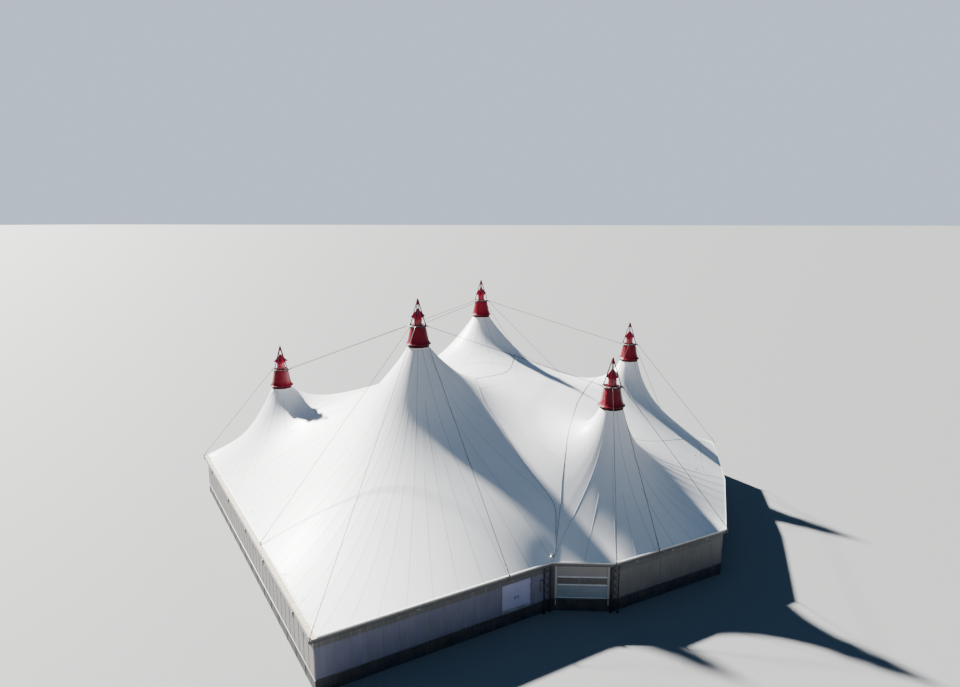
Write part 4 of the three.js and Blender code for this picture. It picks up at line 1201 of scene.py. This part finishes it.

# Walls. Coated metal panels about twelve hundred millimetres wide stand between plinth and
# eave; a darker band under the eave is painted shadow of the eave, and an upright strip covers
# each joint.
WALL_TOP = BEAM_LOW - 0.0003
PANEL_STEP = 0.6
BAND_LOW = 1.76
COVER_RAIL = [(-0.008, -0.008), (-0.008, 0.008), (0.0, 0.01), (0.0, -0.01)]
# The darker upper band in both wall colours is painted shadow under the eave.
LILAC_AND_EAVE_SHADE_BANDS = [(0, (0.17, 0.175, 0.25)), (BAND_LOW, (0.12, 0.12, 0.115))]
STONE_AND_EAVE_SHADE_BANDS = [(0, (0.19, 0.18, 0.165)), (BAND_LOW, (0.14, 0.135, 0.125))]
WALL_LILAC_AND_SHADE = streaked(banded("wall_lilac_and_shade", LILAC_AND_EAVE_SHADE_BANDS, 0.45, cloud=1.2, grain=35), 0.4)
WALL_STONE_AND_SHADE = streaked(banded("wall_stone_and_shade", STONE_AND_EAVE_SHADE_BANDS, 0.5, cloud=1.2, grain=35), 0.4)
STRIP_GREY = painted("wall_strip_grey", (0.19, 0.19, 0.21), (0.14, 0.14, 0.16), 0.45, cloud=3.0)
WALL_NODES = ["wall_front_left", "wall_bay_left", "wall_over_door", "wall_bay_right", "wall_front_right",
              "wall_right", "wall_rear_right", "wall_rear_gate", "wall_rear_bay", "wall_rear_left",
              "wall_left"]
for node in WALL_NODES:
    dress(node, WALL_LILAC_AND_SHADE if "bay" in node or "door" in node else WALL_STONE_AND_SHADE)
walls_out = drawn_in(WALL_IN)


def wall_line(side, start, end, height):
    """Line on a wall's outer face between two distances from its first corner."""
    first, last = walls_out[side], walls_out[(side + 1) % len(CORNERS)]
    along = (last - first).normalized()
    return [Vector((*(first + along * reach), height)) for reach in (start, end)]


LENGTHS = [(walls_out[(i + 1) % 11] - walls_out[i]).length for i in range(11)]
DOOR_FROM = 15.25 * HALF
DOOR_TO = DOOR_FROM + (2 * 1.35 + 3 * 0.012) * HALF
wall_mid = (PLINTH_TOP + WALL_TOP) / 2
strip = Form()
half_high = (WALL_TOP - PLINTH_TOP) / 2 - 0.022
strip.box((-0.016, -0.009, -half_high), (0.016, 0.001, half_high))
strip_lines = [wall_line(side, 0.08, LENGTHS[side] - 0.08, wall_mid) for side in (0, *range(3, 11))]
strip_lines += [wall_line(1, 0.08, DOOR_FROM - 0.12, wall_mid),
                wall_line(1, DOOR_TO + 0.12, LENGTHS[1] - 0.08, wall_mid)]
repeated("wall_strips", strip_lines, strip, PANEL_STEP, STRIP_GREY)
cover = Form()
moulding(cover, COVER_RAIL, WALL_IN, BAND_LOW, [*range(3, 13)])
cover.piece("wall_cover_rail", STRIP_GREY, "wall_panel")

# Double door. Two pale lilac leaves swing outwards on three knuckle hinges each; every leaf has
# a lever handle on a long plate, a kick plate at its foot, and a pressed border.
DOOR_FOOT = (1.1 + 0.0006 + 0.012) * HALF
LEAF_WIDE = 1.35 * HALF
LEAF_HIGH = (2.45 - 0.012) * HALF
DOOR_LILAC = streaked(painted("door_lilac", (0.42, 0.42, 0.60), (0.36, 0.36, 0.52), 0.36, cloud=1.6), 0.2)
HANDLE_BLACK = painted("handle_black", (0.015, 0.015, 0.017), (0.04, 0.04, 0.045), 0.35, cloud=8.0)
at_bay = at_side(walls_out[1], walls_out[2])
LEAVES = (("door_leaf_left", "left_leaf", DOOR_FROM, 1), ("door_leaf_right", "right_leaf", DOOR_TO, -1))
for node, body, hinge, side in LEAVES:
    dress(node, DOOR_LILAC)
    place = at_bay @ shift(hinge, 0, DOOR_FOOT)
    low, high = sorted((side * 0.012 * HALF, side * (0.012 * HALF + LEAF_WIDE)))
    border = Form()
    for x1, x2, z1, z2 in ((low + 0.03, high - 0.03, LEAF_HIGH - 0.05, LEAF_HIGH - 0.03),
                           (low + 0.03, high - 0.03, 0.14, 0.16),
                           (low + 0.03, low + 0.05, 0.16, LEAF_HIGH - 0.05),
                           (high - 0.05, high - 0.03, 0.16, LEAF_HIGH - 0.05)):
        border.box((x1, -0.004, z1), (x2, 0.001, z2), place)
    border.piece(f"{node}_border", DOOR_LILAC, "door_panel", body, edge=0.0015)
    kick = Form()
    kick.box((low + 0.02, -0.003, 0.015), (high - 0.02, 0.001, 0.125), place)
    for x in np.linspace(low + 0.035, high - 0.035, 6):
        kick.turned([(0.004, 0), (0.004, 0.0015), (0.002, 0.0025)], 10,
                    place @ shift(x, -0.003, 0.11) @ LYING)
    kick.piece(f"{node}_kick_plate", FITTING_STEEL, "galvanised_steel", body)
    at_lock = place @ shift((high if side > 0 else low) - side * 0.06, 0, 0)
    lever = Form()
    lever.box((-0.016, -0.006, 0.50), (0.016, 0.001, 0.63), at_lock)
    for start, end, radius in (((0, -0.004, 0.59), (0, -0.034, 0.59), 0.008),
                               ((0, -0.032, 0.59), (-side * 0.085, -0.030, 0.585), 0.0075),
                               ((0, -0.003, 0.535), (0, -0.009, 0.535), 0.008)):
        lever.rod(start, end, radius, 12, at_lock)
    lever.piece(f"{node}_handle", HANDLE_BLACK, "lattice_steel", body, edge=0.0015)
door_trim = Form()
trim_foot, trim_top = PLINTH_TOP + 0.014, DOOR_FOOT + LEAF_HIGH + 0.05
for x1, x2, z1 in ((DOOR_FROM - 0.058, DOOR_FROM - 0.03, trim_foot),
                   (DOOR_TO + 0.03, DOOR_TO + 0.058, trim_foot),
                   (DOOR_FROM - 0.058, DOOR_TO + 0.058, trim_top - 0.025)):
    door_trim.box((x1, -0.008, z1), (x2, 0.001, trim_top), at_bay)
door_trim.piece("door_trim", STRIP_GREY, "door_panel", edge=0.002)

# Gate. A sectional door of insulated panels hangs between white posts; three pale rails stiffen
# it, the part between the upper two is dark glazing, and a rubber seal closes its foot.
GATE_SIDE = 0.35 * HALF
GATE_POST = 0.2 * HALF
GATE_FOOT = PLINTH_TOP + 0.0003
GATE_TALL = WALL_TOP - GATE_FOOT
GATE_LEAF = GATE_TALL - 0.2003 * HALF
RAIL_SHARES = (0.33, 0.57, 0.98)
RAIL_HALF = 0.055 * HALF
PANEL_BEIGE = (0.30, 0.285, 0.26)
PANEL_DARK = (0.11, 0.105, 0.10)
PANEL_BLUE = (0.25, 0.30, 0.35)
RAIL_PALE = (0.72, 0.72, 0.70)
levels = [GATE_FOOT + GATE_LEAF * (1 - share) for share in RAIL_SHARES]
gate_bands = [(0, RAIL_PALE), (levels[2] + RAIL_HALF, PANEL_BLUE), (levels[1] - RAIL_HALF, RAIL_PALE),
              (levels[1] + RAIL_HALF, PANEL_DARK), (levels[0] - RAIL_HALF, RAIL_PALE),
              (levels[0] + RAIL_HALF, PANEL_BEIGE)]
GATE_PANELS = streaked(banded("gate_panels", gate_bands, 0.4, cloud=1.5), 0.25)
POST_WHITE = streaked(painted("gate_post_white", (0.46, 0.45, 0.43), (0.36, 0.35, 0.33), 0.42, 2.0), 0.4)
SEAL_BLACK = painted("gate_seal", (0.02, 0.02, 0.022), (0.045, 0.045, 0.045), 0.75, cloud=6.0)
dress("gate_door", GATE_PANELS)
dress("gate_frame", POST_WHITE)
at_gate = at_side(walls_out[2], walls_out[3], height=GATE_FOOT)
gate_low, gate_high = GATE_SIDE + GATE_POST, LENGTHS[2] - GATE_SIDE - GATE_POST
ribs = Form()
for share in (0.10, 0.19, 0.28, 0.36, 0.76, 0.84, 0.92):
    level = share * GATE_LEAF
    ribs.box((gate_low + 0.012, 0.0225, level - 0.004), (gate_high - 0.012, 0.0255, level + 0.004), at_gate)
ribs.piece("gate_panel_ribs", STRIP_GREY, "gate_panel", edge=0.001)
seal = Form()
seal.box((gate_low + 0.004, 0.004, 0.001), (gate_high - 0.004, 0.0122, 0.022), at_gate)
for x in (gate_low + 0.0005, gate_high - 0.010):
    seal.box((x, 0.011, 0.02), (x + 0.0095, 0.0245, GATE_LEAF - 0.004), at_gate)
seal.piece("gate_seals", SEAL_BLACK, "gate_panel", edge=0.001)
ironwork = Form()
for x in np.linspace(gate_low + 0.02, gate_high - 0.02, 5):
    for share in RAIL_SHARES[:2]:
        level = GATE_LEAF * (1 - share)
        ironwork.box((x - 0.014, 0.0085, level - 0.022), (x + 0.014, 0.0130, level + 0.022), at_gate)
        ironwork.turned([(0.005, 0), (0.005, 0.004), (0.003, 0.0055)], 8,
                        at_gate @ shift(x, 0.009, level) @ LYING)
at_handle = at_gate @ shift((gate_low + gate_high) / 2, 0, 0.11)
ironwork.box((-0.05, 0.006, -0.01), (0.05, 0.0252, 0.01), at_handle)
ironwork.rod((-0.045, -0.004, 0), (0.045, -0.004, 0), 0.006, place=at_handle)
ironwork.piece("gate_ironwork", FITTING_STEEL, "galvanised_steel", edge=0.001)
posts = Form()
for x in (GATE_SIDE + 0.02, LENGTHS[2] - GATE_SIDE - 0.06):
    posts.box((x, -0.002, -0.30), (x + 0.04, 0.0102, GATE_TALL - 0.004), at_gate)
posts.piece("gate_post_covers", POST_WHITE, "eave_trim", edge=0.002)
closures = Form()
for start, end in ((0.001, GATE_SIDE - 0.001), (LENGTHS[2] - GATE_SIDE + 0.001, LENGTHS[2] - 0.02)):
    closures.box((start, 0.02, 0.001), (end, 0.045, GATE_TALL - 0.002), at_gate)
closures.piece("gate_side_panels", DARK_TRIM_AND_SHADOW_GREY, "gate_panel")

# Lattice columns. Dark painted steel ladders with crossing braces stand on both sides of the
# gate; every chord has a bolted base plate and a head plate under the beam, and a clip at
# each crossing of two braces.
LATTICE_DARK = painted("lattice_dark", (0.022, 0.024, 0.027), (0.06, 0.06, 0.06), 0.42, 6.0, metallic=0.35)
LATTICE_WIDE = 0.62 * HALF
STAND_OFF = 0.12 * HALF
LATTICE_BAYS = 6
lattice_ends = [(at_bay, LENGTHS[1] - 0.05, -1), (at_side(walls_out[2], walls_out[3]), LENGTHS[2] - 0.125, 1)]
for node in ("lattice_column_left", "lattice_column_right"):
    dress(node, LATTICE_DARK)
details = Form()
column_top = BEAM_LOW - 0.0003
for place, first, way in lattice_ends:
    for x in (first, first + way * LATTICE_WIDE):
        foot = place @ shift(x, -STAND_OFF, 0)
        details.box((-0.055, -0.05, 0.0), (0.055, 0.05, 0.012), foot)
        details.box((-0.04, -0.04, column_top - 0.012), (0.04, 0.04, column_top - 0.001), foot)
        for dx in (-0.04, 0.04):
            for dy in (-0.036, 0.036):
                details.bolt(0.008, 0.011, 0.022, foot @ shift(dx, dy, 0))
        for bay in range(LATTICE_BAYS + 1):
            level = 0.05 + (column_top - 0.1) * bay / LATTICE_BAYS
            details.turned([(0.030, -0.03), (0.033, -0.025), (0.033, 0.025), (0.030, 0.03)], 16,
                           foot @ shift(0, 0, level))
    for bay in range(LATTICE_BAYS):
        level = 0.05 + (column_top - 0.1) * (bay + 0.5) / LATTICE_BAYS
        x = first + way * LATTICE_WIDE / 2
        details.rod((x, -STAND_OFF, level - 0.02), (x, -STAND_OFF, level + 0.02), 0.02, 12, place)
details.piece("lattice_plates", LATTICE_DARK, "lattice_steel")

# Small fittings. Metal funnels drain the valleys where two sheets meet the eave, round patches
# of coated fabric are welded on the membrane, sheet-metal lamps hang under the eave beam, and a
# switch box is screwed to the wall beside the gate.
LAMP_GREY = painted("lamp_grey", (0.16, 0.17, 0.18), (0.10, 0.105, 0.11), 0.4, cloud=6.0)
LAMP_GLASS = painted("lamp_glass", (0.72, 0.74, 0.74), (0.62, 0.64, 0.64), 0.15, cloud=6.0, depth=0.0)
funnels = Form()
for corner in (G1, G1R):
    inward = (Vector((RIGHT_JUNCTION.x, 0)) - corner).normalized()
    spot = corner + inward * 0.16
    base = on_sheet(spot.x, spot.y, 0.004)
    place = shift(*base) @ Matrix.Rotation(math.atan2(inward.y, inward.x), 4, "Z")
    funnels.turned([(0.11, 0.0), (0.115, 0.012), (0.10, 0.02), (0.055, 0.06), (0.05, 0.11), (0.056, 0.115),
                    (0.056, 0.125), (0.045, 0.125), (0.045, 0.06)], 32, place)
    for k in range(8):
        funnels.turned([(0.007, 0.012), (0.007, 0.02)], 6, place @ around(k / 8) @ shift(0.104, 0, 0))
funnels.piece("valley_funnels", FITTING_STEEL, "galvanised_steel")
PATCH_WHITE = painted("patch_white", (0.66, 0.68, 0.70), (0.52, 0.54, 0.57), 0.5, cloud=6.0)
patches = Form()
patch_spots = [(-5.15, -31.26), (-1.89, -34.15), (-14.2, -22.2), (-9.4, -26.9), (26.4, -2.2)]
for x, y in patch_spots + mirrored(patch_spots):
    spot, beyond, across = [on_sheet(x * HALF + right, y * HALF + back, 0.002)
                            for right, back in ((0, 0), (0.05, 0), (0, 0.05))]
    normal = (beyond - spot).cross(across - spot).normalized()
    lying = shift(*spot) @ normal.to_track_quat("Z", "Y").to_matrix().to_4x4()
    patches.turned([(0.10, 0.0), (0.10, 0.003), (0.085, 0.005)], 24, lying)
    patches.turned([(0.03, 0.004), (0.03, 0.008), (0.02, 0.010)], 12, lying)
patches.piece("membrane_patches", PATCH_WHITE, "membrane")
lamps, glasses = Form(), Form()
LAMP_SHARES = {3: (0.18, 0.5, 0.82), 6: (0.18, 0.5, 0.82), 1: (0.4,), 8: (0.6,)}
for side, share in [(side, share) for side, shares in LAMP_SHARES.items() for share in shares]:
    place = at_side(CORNERS[side], CORNERS[side + 1], share, BEAM_LOW)
    lamps.box((-0.07, 0.055, -0.075), (0.07, 0.115, -0.02), place)
    lamps.box((-0.012, 0.07, -0.022), (0.012, 0.09, -0.0005), place)
    glasses.box((-0.06, 0.047, -0.068), (0.06, 0.056, -0.028), place)
box_spot = at_bay @ shift(LENGTHS[1] - 0.5, 0, 0)
lamps.box((-0.06, -0.055, 1.02), (0.06, 0.0, 1.5), box_spot)
lamps.box((-0.066, -0.058, 1.5), (0.066, 0.0, 1.515), box_spot)
lamps.piece("lamp_boxes", LAMP_GREY, "lattice_steel", edge=0.003)
glasses.piece("lamp_glasses", LAMP_GLASS, "eave_trim", edge=0.002)
